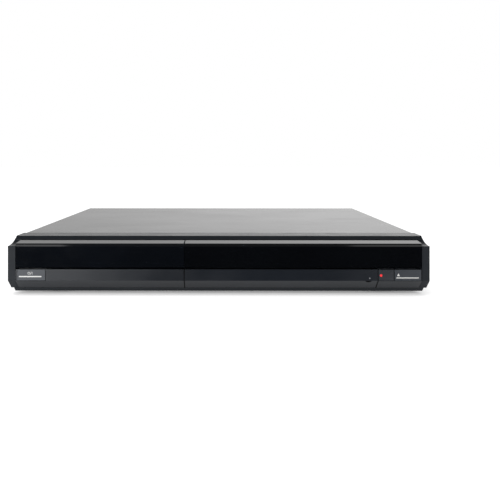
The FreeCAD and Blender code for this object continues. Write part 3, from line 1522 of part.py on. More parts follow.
def traverse_frame():
    """Plate that carries spindle, rods and pickup, with side rails and a trunnion axle."""
    body = piece("traverse_frame")
    left = f"({TRAY_X} - traverse_half)"
    right = f"({TRAY_X} + traverse_half)"
    front = behind("traverse_front")
    rear = behind("(traverse_pivot + trunnion_radius)")
    window = rectangle(f"{TRAY_X} - traverse_window_half", behind("traverse_window_start"),
                       f"{TRAY_X} + traverse_window_half", behind("traverse_window_end"))
    extrude(body, "XY", TRAVERSE_BOTTOM, TRAVERSE_TOP, [rectangle(left, front, right, rear), window])
    extrude(body, "XY", TRAVERSE_TOP, f"{TRAVERSE_TOP} + traverse_rail_height", [
        rectangle(left, front, f"{left} + traverse_rail", rear),
        rectangle(f"{right} - traverse_rail", front, right, rear),
    ])
    seat_top = f"({ROD_HEIGHT} + rod_radius + rod_play + sheet)"
    seats = [
        rectangle(f"{x} - rod_seat_half", low, f"{x} + rod_seat_half", high)
        for x in RODS
        for low, high in (
            (behind("(rod_start - rod_seat)"), behind("rod_start")),
            (behind("rod_end"), behind("(rod_end + rod_seat)")),
        )
    ]
    seats.append(rectangle(f"{LEAD_X} - rod_seat_half", behind("(lead_screw_start - rod_seat)"),
                           f"{LEAD_X} + rod_seat_half", behind("lead_screw_start")))
    extrude(body, "XY", TRAVERSE_TOP, seat_top, seats)
    carve(body, "XZ", behind("(rod_start - rod_seat / 2)"), behind("(rod_end + rod_seat / 2)"),
          circles=[(x, ROD_HEIGHT, "rod_radius + pin_play") for x in RODS])
    carve(body, "XZ", behind("(lead_screw_start - rod_seat / 2)"), behind("lead_screw_start"),
          circles=[(LEAD_X, ROD_HEIGHT, "lead_screw_radius + pin_play")])
    cut_block(body, (f"{LEAD_X} - sled_motor_radius - pin_play", f"{LEAD_X} + sled_motor_radius + pin_play"),
              (behind("(lead_screw_end - pin_play)"),
               behind("(lead_screw_end + sled_motor_length + pin_play)")),
              (TRAVERSE_BOTTOM, TRAVERSE_TOP))
    extrude(body, "YZ", f"{left} - trunnion_length", f"{right} + trunnion_length",
            circles=[(behind("traverse_pivot"), PIVOT_HEIGHT, "trunnion_radius")])
    lower(body)


def lower(body):
    """Tip a traverse piece down about the trunnion, from its raised place to its rest."""
    pivot = FreeCAD.Vector(0, number(behind("traverse_pivot")), number(PIVOT_HEIGHT))
    tilt = FreeCAD.Rotation(FreeCAD.Vector(1, 0, 0), number("traverse_tilt"))
    body.Placement = FreeCAD.Placement(FreeCAD.Vector(0, 0, 0), tilt, pivot)


def spindle_motor():
    """Flat disc motor under the turntable."""
    body = piece("spindle_motor")
    turn(body, "Z", (TRAY_X, behind("disc_depth"), TRAVERSE_TOP), [
        ("spindle_shaft + pin_play", "0"),
        ("spindle_radius", "0"),
        ("spindle_radius", "spindle_height - sheet"),
        ("spindle_radius - sheet", "spindle_height"),
        ("spindle_shaft + pin_play", "spindle_height"),
    ])
    lower(body)


def turntable():
    """Turntable with the cone that centres the disc, on its shaft."""
    body = piece("turntable")
    turn(body, "Z", (TRAY_X, behind("disc_depth"), DISC_PLANE), [
        ("0", "-1 * (turntable_rise + spindle_height / 2)"),
        ("spindle_shaft", "-1 * (turntable_rise + spindle_height / 2)"),
        ("spindle_shaft", "-1 * turntable_rise"),
        ("turntable_radius", "-1 * turntable_rise"),
        ("turntable_radius", "0"),
        ("cone_radius", "0"),
        ("cone_top", "cone_rise"),
        ("0", "cone_rise"),
    ])
    lower(body)


def pickup_sled():
    """Sled that carries the lens along the two rods, with its nut over the lead screw."""
    body = piece("pickup_sled")
    start = f"({LENS_Y} - sled_lead)"
    low = f"({TRAVERSE_TOP} - sled_sink)"
    high = f"({low} + sled_height)"
    block(body, (f"{TRAY_X} - sled_half", f"{TRAY_X} + sled_half"), (start, f"{start} + sled_length"),
          (low, high))
    block(body, (f"{TRAY_X} - lens_holder", f"{TRAY_X} + lens_holder"),
          (f"{LENS_Y} - lens_holder", f"{LENS_Y} + lens_holder"), (high, LENS_SEAT))
    block(body, (f"{TRAY_X} + sled_half - sheet", f"{LEAD_X} + sled_nut_reach"),
          (f"{LENS_Y} - lens_radius", f"{LENS_Y} + lens_radius"),
          (f"{ROD_HEIGHT} + lead_screw_radius + gap", high))
    carve(body, "XZ", start, f"{start} + sled_length",
          circles=[(x, ROD_HEIGHT, "rod_radius + rod_play") for x in RODS])
    carve(body, "XY", f"{LENS_SEAT} - sheet", LENS_SEAT,
          circles=[(TRAY_X, LENS_Y, "lens_radius + pin_play")])
    lower(body)


def pickup_lens():
    """Domed objective lens."""
    body = piece("pickup_lens")
    turn(body, "Z", (TRAY_X, LENS_Y, LENS_SEAT), [
        ("0", "-1 * sheet"),
        ("lens_radius", "-1 * sheet"),
        ("lens_radius", "0"),
        ("lens_radius / 2", "lens_rise"),
        ("0", "lens_rise"),
    ])
    lower(body)


def guide_rods():
    """Two steel rods that the sled runs on."""
    members = []
    for index, x in enumerate(RODS):
        body = helper(f"guide_rod_{index}")
        extrude(body, "XZ", behind("(rod_start - rod_seat / 2)"), behind("(rod_end + rod_seat / 2)"),
                circles=[(x, ROD_HEIGHT, "rod_radius")])
        lower(body)
        members.append(body)
    group("guide_rods", members)


def lead_screw():
    """Lead screw that moves the sled."""
    body = piece("lead_screw")
    extrude(body, "XZ", behind("(lead_screw_start - rod_seat / 2)"),
            behind("(lead_screw_end + sled_motor_length / 2)"),
            circles=[(LEAD_X, ROD_HEIGHT, "lead_screw_radius")])
    lower(body)


def sled_motor():
    """Small stepping motor at the rear end of the lead screw."""
    body = piece("sled_motor")
    turn(body, "Y", (LEAD_X, behind("lead_screw_end"), ROD_HEIGHT), [
        ("lead_screw_radius + pin_play", "0"),
        ("sled_motor_radius", "0"),
        ("sled_motor_radius", "sled_motor_length"),
        ("0", "sled_motor_length"),
        ("0", "sled_motor_length / 2 + gap"),
        ("lead_screw_radius + pin_play", "sled_motor_length / 2 + gap"),
    ])
    lower(body)


def clamper():
    """Flanged clamping disc that hangs in the hole of the drive's top plate."""
    body = piece("clamper")
    rim = f"({DRIVE_TOP} + drive_plate + clamper_air)"
    low = f"({TRAY_TOP} + clamper_bottom)"
    turn(body, "Z", (TRAY_X, behind("disc_depth"), "0"), [
        ("0", low),
        ("clamper_radius", low),
        ("clamper_radius", rim),
        ("clamper_flange", rim),
        ("clamper_flange", f"{rim} + clamper_flange_wall"),
        ("0", f"{rim} + clamper_flange_wall"),
    ])


def hard_disk():
    """Hard disk: cast base with a stepped lid and a connector notch at the rear."""
    body = piece("hard_disk")
    left = "(disk_x - disk_width / 2)"
    right = "(disk_x + disk_width / 2)"
    front = behind("disk_front")
    rear = behind("(disk_front + disk_length)")
    low = f"({FLOOR} + disk_lift)"
    high = f"({low} + disk_height)"
    block(body, (left, right), (front, rear), (low, f"{high} - disk_step"))
    block(body, (f"{left} + disk_step_inset", f"{right} - disk_step_inset"),
          (f"{front} + disk_step_inset", f"{rear} - disk_step_inset - disk_step_inset"),
          (f"{high} - disk_step", high))
    cut_block(body, (f"{left} + disk_step_inset", f"{right} - disk_step_inset"),
              (f"{rear} - disk_step_inset", rear), (low, f"{low} + disk_step + disk_step"))


def hard_disk_bracket():
    """Folded table that stands on the floor and holds the hard disk."""
    body = piece("hard_disk_bracket")
    left = "(disk_x - disk_width / 2)"
    right = "(disk_x + disk_width / 2)"
    top = f"({FLOOR} + disk_lift)"
    foot = f"({FLOOR} + bracket_wall)"
    start = behind("(disk_front + (disk_length - bracket_length) / 2)")
    extrude(body, "XZ", start, f"{start} + bracket_length", [[
        (f"{left} - bracket_foot", FLOOR),
        (f"{left} + bracket_wall", FLOOR),
        (f"{left} + bracket_wall", f"{top} - bracket_wall"),
        (f"{right} - bracket_wall", f"{top} - bracket_wall"),
        (f"{right} - bracket_wall", FLOOR),
        (f"{right} + bracket_foot", FLOOR),
        (f"{right} + bracket_foot", foot),
        (right, foot),
        (right, top),
        (left, top),
        (left, foot),
        (f"{left} - bracket_foot", foot),
    ]])


def board(body, area):
    """Circuit board resting on its stand-offs."""
    left, front, right, rear = area
    block(body, (left, right), (front, rear), (DRIVE_BOTTOM, BOARD_TOP))
    return body


def main_board():
    """Board behind the drive that carries the rear connectors."""
    board(piece("main_board"), MAIN_BOARD)


def digital_board():
    """Board beside the drive with two large chips and a row of small ones soldered on."""
    members = [board(helper("digital_board_blank"), DIGITAL_BOARD)]
    for index in range(2):
        body = helper(f"large_chip_{index}")
        extrude(body, "XY", BOARD_TOP, f"{BOARD_TOP} + chip_height",
                [around(f"(chip_x + {index} * chip_pitch)", behind("chip_depth"), "chip_side / 2",
                        "chip_side / 2")])
        members.append(body)
    for index in range(3):
        body = helper(f"small_chip_{index}")
        extrude(body, "XY", BOARD_TOP, f"{BOARD_TOP} + small_chip_height",
                [around(f"(chip_x + {index - 1} * small_chip_pitch)", behind("(chip_depth + chip_pitch)"),
                        "small_chip_width / 2", "small_chip_length / 2")])
        members.append(body)
    group("digital_board", members)


def power_supply_board():
    """Board with two upright capacitors soldered on."""
    members = [board(helper("power_supply_board_blank"), SUPPLY_BOARD)]
    for index in range(2):
        body = helper(f"capacitor_{index}")
        extrude(body, "XY", BOARD_TOP, f"{BOARD_TOP} + capacitor_height",
                circles=[(f"capacitor_x + {index} * capacitor_pitch", behind("capacitor_depth"),
                          "capacitor_radius")])
        members.append(body)
    group("power_supply_board", members)


def chip_heatsink():
    """Finned heatsink on the first large chip."""
    body = piece("chip_heatsink")
    low = f"({BOARD_TOP} + chip_height)"
    half = "(sink_side / 2)"
    extrude(body, "XY", low, f"{low} + sink_base", [around("chip_x", behind("chip_depth"), half, half)])
    fin = extrude(body, "XY", f"{low} + sink_base", f"{low} + sink_height",
                  [rectangle("0", f"-{half}", "sink_fin", half)],
                  centre=("chip_x - (sink_fin_pitch * (sink_fin_count - 1) + sink_fin) / 2",
                          behind("chip_depth")))
    row_pattern(body, fin, "H_Axis", "sink_fin_pitch", "sink_fin_count")


def flat_cable():
    """Flat cable from the hard disk down to the main board."""
    body = piece("flat_cable")
    start = behind("(disk_front + disk_length)")
    fall = f"({start} + cable_run)"
    end = f"({fall} + cable_run)"
    upper = f"({FLOOR} + disk_lift + cable_rise)"
    inner = "(cable_bend - cable_wall)"
    extrude(body, "YZ", "disk_x - cable_half", "disk_x + cable_half", [[
        (start, upper),
        (start, f"{upper} + cable_wall"),
        (f"{fall} - cable_bend", f"{upper} + cable_wall"),
        Via(f"{fall} - cable_bend + cable_bend * sqrt(0.5)",
            f"{upper} + cable_wall - cable_bend + cable_bend * sqrt(0.5)"),
        (fall, f"{upper} + cable_wall - cable_bend"),
        (fall, f"{BOARD_TOP} + cable_bend"),
        Via(f"{fall} + {inner} - {inner} * sqrt(0.5)", f"{BOARD_TOP} + cable_bend - {inner} * sqrt(0.5)"),
        (f"{fall} + {inner}", f"{BOARD_TOP} + cable_wall"),
        (end, f"{BOARD_TOP} + cable_wall"),
        (end, BOARD_TOP),
        (f"{fall} + {inner}", BOARD_TOP),
        Via(f"{fall} + {inner} - cable_bend * sqrt(0.5)",
            f"{BOARD_TOP} + cable_bend - cable_bend * sqrt(0.5)"),
        (f"{fall} - cable_wall", f"{BOARD_TOP} + cable_bend"),
        (f"{fall} - cable_wall", f"{upper} + cable_wall - cable_bend"),
        Via(f"{fall} - cable_bend + {inner} * sqrt(0.5)",
            f"{upper} + cable_wall - cable_bend + {inner} * sqrt(0.5)"),
        (f"{fall} - cable_bend", upper),
    ]])


def power_transformer():
    """Transformer: upright core with its wound bobbin through it."""
    body = piece("power_transformer")
    y = behind("transformer_depth")
    extrude(body, "XY", BOARD_TOP, f"{BOARD_TOP} + transformer_height",
            [around("transformer_x", y, "transformer_width / 2", "transformer_core")])
    extrude(body, "XY", BOARD_TOP, f"{BOARD_TOP} + transformer_height - transformer_core / 2",
            [around("transformer_x", y, "(transformer_width / 2 - transformer_core)",
                    "transformer_length / 2")])


def power_heatsink():
    """Upright finned plate for the power transistors."""
    body = piece("power_heatsink")
    top = f"({BOARD_TOP} + power_sink_height)"
    block(body, ("power_sink_x", "power_sink_x + power_sink_wall"),
          (behind("power_sink_front"), behind("(power_sink_front + power_sink_length)")), (BOARD_TOP, top))
    fin = extrude(body, "XY", BOARD_TOP, top,
                  [rectangle("0", "0", "power_sink_fin", "power_sink_wall")],
                  centre=("power_sink_x + power_sink_wall", behind("power_sink_front")))
    row_pattern(body, fin, "V_Axis",
                "((power_sink_length - power_sink_wall) / (power_sink_fin_count - 1))",
                "power_sink_fin_count")


def stadium(x, z, offset, radius):
    """Outline of two half circles joined by straight edges."""
    return [
        (f"{x} - {offset}", f"{z} - {radius}"),
        (f"{x} + {offset}", f"{z} - {radius}"),
        Via(f"{x} + {offset} + {radius}", z),
        (f"{x} + {offset}", f"{z} + {radius}"),
        (f"{x} - {offset}", f"{z} + {radius}"),
        Via(f"{x} - {offset} - {radius}", z),
    ]


def mains_inlet():
    """Two-pin mains inlet with a rounded well."""
    body = piece("mains_inlet")
    well_floor = f"({REAR} + inlet_flange_wall - inlet_well_depth)"
    extrude(body, "XZ", f"{REAR} - inlet_depth", REAR,
            [around("inlet_x", "inlet_height", "inlet_half", "inlet_rise")])
    extrude(body, "XZ", REAR, f"{REAR} + inlet_flange_wall",
            [around("inlet_x", "inlet_height", "(inlet_half + inlet_flange)", "(inlet_rise + inlet_flange)")])
    carve(body, "XZ", well_floor, f"{REAR} + inlet_flange_wall",
          [stadium("inlet_x", "inlet_height", "inlet_pin_x", "inlet_well_radius")])
    extrude(body, "XZ", f"{well_floor} - sheet", f"{well_floor} + inlet_pin_length",
            circles=[(f"inlet_x + {sign} * inlet_pin_x", "inlet_height", "inlet_pin")
                     for sign in ("-1", "1")])


def fan_frame():
    """Square fan frame with its motor mount on three spokes."""
    body = piece("fan_frame")
    front = f"({REAR} - sheet - fan_depth)"
    rear = f"({REAR} - sheet)"
    centre = ("fan_x", "fan_height")
    extrude(body, "XZ", front, rear, [around(*centre, "fan_half", "fan_half")], [(*centre, "fan_bore")])
    extrude(body, "XZ", front, f"{front} + fan_spoke_wall", circles=[(*centre, "fan_mount")])
    spoke = extrude(body, "XZ", front, f"{front} + fan_spoke_wall",
                    [rectangle("fan_mount - fan_spoke", "-1 * fan_spoke / 2", "fan_bore + gap",
                               "fan_spoke / 2")], centre=centre)
    ring_pattern(body, spoke, "fan_spokes")


def fan_rotor():
    """Hub with pitched blades."""
    body = piece("fan_rotor")
    front = f"({REAR} - sheet - fan_depth + fan_spoke_wall + fan_rotor_air)"
    rear = f"({REAR} - sheet - fan_rotor_air)"
    centre = ("fan_x", "fan_height")
    hub = extrude(body, "XZ", front, rear, circles=[("0", "0", "fan_hub")], centre=centre)
    rise = "(fan_blade_rise / 2)"
    lean = f"({rear} - {front})"
    blade = extrude(body, "YZ", "fan_x + fan_hub - sheet", "fan_x + fan_blade_reach", [[
        (f"{front} + {lean} / 8", f"fan_height - {rise}"),
        (f"{front} + {lean} / 8 + fan_blade_wall", f"fan_height - {rise}"),
        (f"{rear} - {lean} / 8", f"fan_height + {rise}"),
        (f"{rear} - {lean} / 8 - fan_blade_wall", f"fan_height + {rise}"),
    ]])
    ring_pattern(body, blade, "fan_blades", hub)


def tuner():
    """Screened tuner can with its aerial input and output."""
    body = piece("tuner")
    low = BOARD_TOP
    block(body, ("tuner_x - tuner_width / 2", "tuner_x + tuner_width / 2"),
          (f"{REAR} - sheet - tuner_depth", f"{REAR} - sheet"), (low, f"{low} + tuner_height"))
    for z in TUNER_BARRELS:
        turn(body, "Y", ("tuner_x", REAR, z), [
            ("0", "-1 * sheet - gap"),
            ("tuner_collar", "-1 * sheet - gap"),
            ("tuner_collar", "jack_collar_reach"),
            ("tuner_barrel", "jack_collar_reach"),
            ("tuner_barrel", "jack_reach"),
            ("tuner_bore", "jack_reach"),
            ("tuner_bore", "0"),
            ("tuner_pin", "0"),
            ("tuner_pin", "jack_reach - sheet"),
            ("0", "jack_reach - sheet"),
        ])


def scart_sockets():
    """Two stacked audio and video sockets, each a shell round a slotted tongue."""
    members = []
    for index, z in enumerate(SCARTS):
        body = helper(f"scart_socket_{index}")
        extrude(body, "XZ", f"{REAR} - scart_depth", f"{REAR} + scart_reach", [scart_outline(z, "0")])
        carve(body, "XZ", f"{REAR} + scart_reach - scart_well", f"{REAR} + scart_reach",
              [scart_outline(z, "scart_wall"), scart_outline(z, "(scart_wall + scart_moat)")])
        members.append(body)
    group("scart_sockets", members)


def rear_av_jacks():
    """Two rows of phono jacks on the rear panel."""
    box = (f"{REAR} - jack_box_depth", f"{REAR} - sheet")
    members = [
        phono_jack(f"rear_av_jack_{index}", x, REAR, z, "1", "jack_reach", box)
        for index, (x, z) in enumerate(REAR_JACKS)
    ]
    group("rear_av_jacks", members)


def digital_outputs():
    """Optical output with its shutter set back, and the HDMI socket with its flat tongue."""
    z = "(rear_jack_low + rear_jack_rise)"
    optical = helper("optical_output")
    extrude(optical, "XZ", f"{REAR} - optical_depth", f"{REAR} + optical_reach",
            [around("optical_x", z, "optical_half", "optical_half")])
    carve(optical, "XZ", f"{REAR} + optical_reach - optical_shutter_depth", f"{REAR} + optical_reach",
          [around("optical_x", z, "optical_shutter", "optical_shutter")])
    hdmi = helper("hdmi_socket")
    extrude(hdmi, "XZ", f"{REAR} - hdmi_depth", f"{REAR} + hdmi_reach", [hdmi_outline("0")])
    carve(hdmi, "XZ", f"{REAR} - hdmi_depth + socket_tongue", f"{REAR} + hdmi_reach",
          [hdmi_outline("socket_shell")])
    extrude(hdmi, "XZ", f"{REAR} - hdmi_depth + socket_shell", f"{REAR} - socket_shell",
            [around("hdmi_x", "hdmi_socket_height", "(hdmi_width / 2 - hdmi_corner - socket_tongue)",
                    "socket_tongue / 3")])
    group("digital_outputs", [optical, hdmi])


def build():
    """Make every sub-part."""
    for make in (
        front_panel, tray_bezel, display_window, left_fascia, right_fascia, front_flap,
        power_button, record_button, open_close_button, small_buttons, button_boards,
        tact_switches, front_board, front_av_jacks, s_video_socket, front_data_sockets,
        card_slot, display_module, display_board, top_cover, bottom_chassis, rear_panel,
        feet, cover_screws, drive_chassis, drive_top_plate, disc_tray, tray_drive_gear,
        pulley_gear, motor_pulley, loading_motor, loading_belt, traverse_frame, spindle_motor,
        turntable, pickup_sled, pickup_lens, guide_rods, lead_screw, sled_motor, clamper,
        hard_disk, hard_disk_bracket, main_board, digital_board, power_supply_board,
        chip_heatsink, flat_cable, power_transformer, power_heatsink, mains_inlet, fan_frame,
        fan_rotor, tuner, scart_sockets, rear_av_jacks, digital_outputs,
    ):
        make()


def check():
    """Refuse a document with a failed feature, an idle cut or an unsound solid."""
    for item in doc.Objects:
        if "Invalid" in item.State or "Error" in item.State:
            raise RuntimeError(f"{item.Label} failed: {item.State}")
        if item.TypeId == "PartDesign::Pocket":
            before = item.BaseFeature.Shape.Volume
            if item.Shape.Volume >= before:
                raise RuntimeError(f"{item.Label} cuts nothing")
    for label, item in nodes.items():
        if item.Shape.isNull() or not item.Shape.isValid() or not item.Shape.Solids:
            raise RuntimeError(f"{label} has no sound solid")


def write():
    """Write one file for each sub-part."""
    os.makedirs("parts", exist_ok=True)
    for label, item in nodes.items():
        item.Shape.exportStep(f"parts/{label}.step")


build()
doc.recompute()
check()
write()
print(f"{len(nodes)} sub-parts")
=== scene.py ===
import bmesh
import bpy
import json
import math
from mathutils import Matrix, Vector


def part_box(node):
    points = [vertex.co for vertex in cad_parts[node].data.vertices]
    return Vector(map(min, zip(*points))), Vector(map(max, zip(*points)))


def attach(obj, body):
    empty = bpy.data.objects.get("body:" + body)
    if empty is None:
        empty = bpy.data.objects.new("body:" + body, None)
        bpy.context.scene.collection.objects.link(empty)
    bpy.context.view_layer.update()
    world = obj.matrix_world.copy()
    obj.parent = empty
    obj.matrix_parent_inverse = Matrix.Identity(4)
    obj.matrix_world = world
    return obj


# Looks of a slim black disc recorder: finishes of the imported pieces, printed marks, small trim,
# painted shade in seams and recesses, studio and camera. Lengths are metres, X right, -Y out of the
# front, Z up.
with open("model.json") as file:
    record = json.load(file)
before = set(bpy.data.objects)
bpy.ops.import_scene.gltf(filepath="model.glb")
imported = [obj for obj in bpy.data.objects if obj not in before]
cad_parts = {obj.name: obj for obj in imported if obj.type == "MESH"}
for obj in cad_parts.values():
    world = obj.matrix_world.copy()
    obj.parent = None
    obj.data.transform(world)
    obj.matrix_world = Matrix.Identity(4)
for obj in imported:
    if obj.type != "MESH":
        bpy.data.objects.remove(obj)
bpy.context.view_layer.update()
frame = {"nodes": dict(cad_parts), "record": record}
MM = 0.001
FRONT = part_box("front_flap")[0].y
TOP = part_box("top_cover")[1].z
OUT = Vector((0, -1, 0))

# Camera fitted to the corners of the object in the photograph.
CAMERA_PLACE = (0.006966, -0.726534, 0.143445)
CAMERA_TURN = (1.57087, -0.00021, 0.00274)
CAMERA_LENS = 39.4386
CAMERA_SHIFT = (0.05225, -0.18772)
CAMERA_NEAR = 0.01


def srgb(*values):
    """Linear colour, with full alpha, of display values from 0 to 255."""
    shares = [value / 255 for value in values]
    linear = [share / 12.92 if share < 0.04045 else ((share + 0.055) / 1.055) ** 2.4
              for share in shares]
    return (*linear, 1.0)


def shades(colour, spread):
    """Two linear colours a little darker and a little lighter than the given one."""
    dark = tuple(c * (1 - spread) for c in colour[:3]) + (1.0,)
    light = tuple(min(1.0, c * (1 + spread)) for c in colour[:3]) + (1.0,)
    return dark, light


# Node trees

# Most of a noise lies between these two factors.
NOISE_LOW = 0.3
NOISE_HIGH = 0.7
NOISE_ROUGHNESS = 0.55
# Length of one band of a wave texture at scale 1.
WAVE_BAND = 0.314
# Sockets of a Mix node that mixes colours.
MIX_FACTOR = 0
MIX_FIRST = 6
MIX_SECOND = 7
MIX_RESULT = 2


class Nodes:
    """A node tree under construction."""

    def __init__(self, tree):
        self.tree = tree

    def add(self, kind, inputs=None, **settings):
        """New node with its settings and its plain or linked inputs."""
        node = self.tree.nodes.new(kind)
        for key, value in settings.items():
            setattr(node, key, value)
        for key, value in (inputs or {}).items():
            self.give(node, key, value)
        return node

    def give(self, node, key, value):
        """Sets an input, or links it where the value is another node's output."""
        if isinstance(value, bpy.types.NodeSocket):
            self.tree.links.new(value, node.inputs[key])
        else:
            node.inputs[key].default_value = value

    def combine(self, operation, first, second):
        """Sum, product, power or larger one of two values."""
        return self.add("ShaderNodeMath", {0: first, 1: second}, operation=operation).outputs[0]

    def choose(self, factor, first, second):
        """The first value where the factor is 0 and the second where it is 1."""
        return self.add("ShaderNodeMix", {"Factor": factor, "A": first, "B": second}).outputs["Result"]

    def remap(self, factor, low, high, start=NOISE_LOW, end=NOISE_HIGH, **settings):
        """Factor brought from start..end to low..high."""
        ends = {"Value": factor, "From Min": start, "From Max": end, "To Min": low, "To Max": high}
        return self.add("ShaderNodeMapRange", ends, **settings).outputs["Result"]

    def rays(self):
        """Factors of camera rays, and of rays that meet the stage in mirrors or glass."""
        path = self.add("ShaderNodeLightPath").outputs
        return path["Is Camera Ray"], self.combine("MAXIMUM", path["Is Glossy Ray"],
                                                   path["Is Transmission Ray"])


class Finish(Nodes):
    """A node material under construction."""

    def __init__(self):
        self.material = bpy.data.materials.new("finish")
        self.material.use_nodes = True
        super().__init__(self.material.node_tree)
        self.shader = self.tree.nodes["Principled BSDF"]
        self.place = self.add("ShaderNodeTexCoord").outputs["Object"]

    def noise(self, scale, detail=3.0, stretch=(1, 1, 1)):
        """Factor of a noise with features of about 1/scale metres."""
        spread = self.add("ShaderNodeMapping", {"Vector": self.place, "Scale": stretch})
        texture = self.add("ShaderNodeTexNoise", {"Vector": spread.outputs[0], "Scale": scale,
                                                  "Detail": detail, "Roughness": NOISE_ROUGHNESS})
        return texture.outputs["Fac"]

    def tint(self, factor, colour, spread):
        """Colour that drifts with a noise about the given one."""
        node = self.add("ShaderNodeValToRGB", {"Fac": factor})
        low, high = node.color_ramp.elements
        low.position, high.position = NOISE_LOW, NOISE_HIGH
        low.color, high.color = shades(colour, spread)
        return node.outputs["Color"]

    def mix(self, factor, first, second):
        """Colour between two colours."""
        inputs = {MIX_FACTOR: factor, MIX_FIRST: first, MIX_SECOND: second}
        return self.add("ShaderNodeMix", inputs, data_type="RGBA").outputs[MIX_RESULT]

    def bump(self, height, strength, distance):
        """Bumps the shader's surface by a height factor."""
        inputs = {"Height": height, "Strength": strength, "Distance": distance}
        self.give(self.shader, "Normal", self.add("ShaderNodeBump", inputs).outputs["Normal"])

    def set(self, **inputs):
        """Sets or links inputs of the shader; an underscore stands for a space."""
        for key, value in inputs.items():
            self.give(self.shader, key.replace("_", " "), value)
        return self.material


# Materials


def plastic(colour, roughness, grain=2200, depth=0.012 * MM, level=0.5, spread=0.12, top=None):
    """Moulded plastic: fine spark texture, slow colour drift and faint handling marks.

    Where top is given, faces that look up are polished to that roughness.
    """
    finish = Finish()
    smear = finish.noise(scale=38, detail=5, stretch=(1, 3, 1))
    worn = finish.remap(smear, low=roughness - 0.035, high=roughness + 0.045)
    if top is not None:
        normal = finish.add("ShaderNodeNewGeometry").outputs["Normal"]
        facing = finish.add("ShaderNodeSeparateXYZ", {0: normal}).outputs["Z"]
        polish = finish.remap(facing, low=0.0, high=top - roughness, start=0.8, end=0.95)
        worn = finish.combine("ADD", worn, polish)
    finish.bump(finish.noise(scale=grain, detail=2), strength=0.35, distance=depth)
    base = finish.tint(finish.noise(scale=14, detail=4), colour, spread)
    return finish.set(Base_Color=base, Roughness=worn, Specular_IOR_Level=level)


def gloss(colour):
    """Polished black moulding: deep colour, very slight waviness, dust and wiping haze."""
    finish = Finish()
    base = finish.tint(finish.noise(scale=9, detail=3), colour, spread=0.2)
    dust_grey = srgb(52, 54, 58)
    dust = finish.remap(finish.noise(scale=5200, detail=1), low=0.0, high=0.3, start=0.84, end=0.92)
    haze = finish.noise(scale=60, detail=5, stretch=(1, 6, 2))
    finish.bump(finish.noise(scale=7, detail=1), strength=0.05, distance=0.3 * MM)
    return finish.set(Base_Color=finish.mix(dust, base, dust_grey),
                      Roughness=finish.remap(haze, low=0.05, high=0.09), Specular_IOR_Level=0.45)


def painted_sheet(colour, roughness, level):
    """Baked paint on folded steel: fine orange peel, wiping marks and hairline scratches."""
    finish = Finish()
    wiping = finish.noise(scale=11, detail=4, stretch=(1, 2.4, 1))
    wiped = finish.remap(wiping, low=roughness - 0.012, high=roughness + 0.015)
    scratch = finish.noise(scale=70, detail=3, stretch=(1, 12, 1))
    scratched = finish.remap(scratch, low=0.0, high=0.03, start=0.66, end=0.74)
    finish.bump(finish.noise(scale=1500, detail=2), strength=0.3, distance=0.02 * MM)
    base = finish.tint(finish.noise(scale=6, detail=4), colour, spread=0.05)
    return finish.set(Base_Color=base, Roughness=finish.combine("ADD", wiped, scratched),
                      Specular_IOR_Level=level)


def metal(colour, roughness, grain=(1, 1, 40), scale=260, spangle=0.0):
    """Rolled, ground or plated metal with drawn grain, blotches and an optional zinc spangle."""
    finish = Finish()
    spread = 0.14
    base = finish.tint(finish.noise(scale=30, detail=4), colour, spread)
    if spangle:
        cells = finish.add("ShaderNodeTexVoronoi", {"Vector": finish.place, "Scale": 210.0})
        grey = finish.add("ShaderNodeRGBToBW", {"Color": cells.outputs["Color"]})
        flake = finish.remap(grey.outputs[0], low=0.0, high=spangle, start=0.2, end=0.8)
        base = finish.mix(flake, base, shades(colour, spread)[1])
    drawn = finish.noise(scale, detail=4, stretch=grain)
    finish.bump(drawn, strength=0.12, distance=0.03 * MM)
    return finish.set(Base_Color=base, Metallic=0.9,
                      Roughness=finish.remap(drawn, low=roughness - 0.05, high=roughness + 0.08))


def circuit_board(colour):
    """Solder mask over copper tracks and plated pads."""
    finish = Finish()
    black, white, plating = srgb(0, 0, 0), srgb(255, 255, 255), srgb(196, 188, 160)
    tracks = finish.add("ShaderNodeTexBrick", {"Vector": finish.place, "Scale": 160.0,
                                               "Mortar Size": 0.012, "Color1": black,
                                               "Color2": black, "Mortar": white})
    masked = finish.mix(tracks.outputs["Color"], *shades(colour, spread=0.25))
    pads = finish.add("ShaderNodeTexVoronoi", {"Vector": finish.place, "Scale": 380.0})
    dots = finish.remap(pads.outputs["Distance"], low=1.0, high=0.0, start=0.12, end=0.16)
    finish.bump(tracks.outputs["Fac"], strength=0.2, distance=0.03 * MM)
    return finish.set(Base_Color=finish.mix(dots, masked, plating),
                      Roughness=finish.remap(finish.noise(scale=90), low=0.28, high=0.4),
                      Specular_IOR_Level=0.5)


def striped(first, second, pitch, axis, roughness):
    """Plastic with even stripes across one axis, such as ribbon wires or wound tape."""
    finish = Finish()
    waves = finish.add("ShaderNodeTexWave", {"Vector": finish.place, "Scale": WAVE_BAND / pitch,
                                             "Distortion": 0.0}, bands_direction=axis)
    finish.bump(waves.outputs["Fac"], strength=0.5, distance=0.2 * MM)
    worn = finish.remap(finish.noise(scale=60), low=roughness - 0.05, high=roughness + 0.05)
    return finish.set(Base_Color=finish.mix(waves.outputs["Fac"], first, second), Roughness=worn)


def glass(colour, roughness):
    """Coated glass over a dark inside."""
    finish = Finish()
    base = finish.tint(finish.noise(scale=30, detail=3), colour, spread=0.3)
    worn = finish.remap(finish.noise(scale=120), low=roughness, high=roughness + 0.05)
    return finish.set(Base_Color=base, Roughness=worn, Coat_Weight=0.6, Coat_Roughness=0.04,
                      Specular_IOR_Level=0.6)


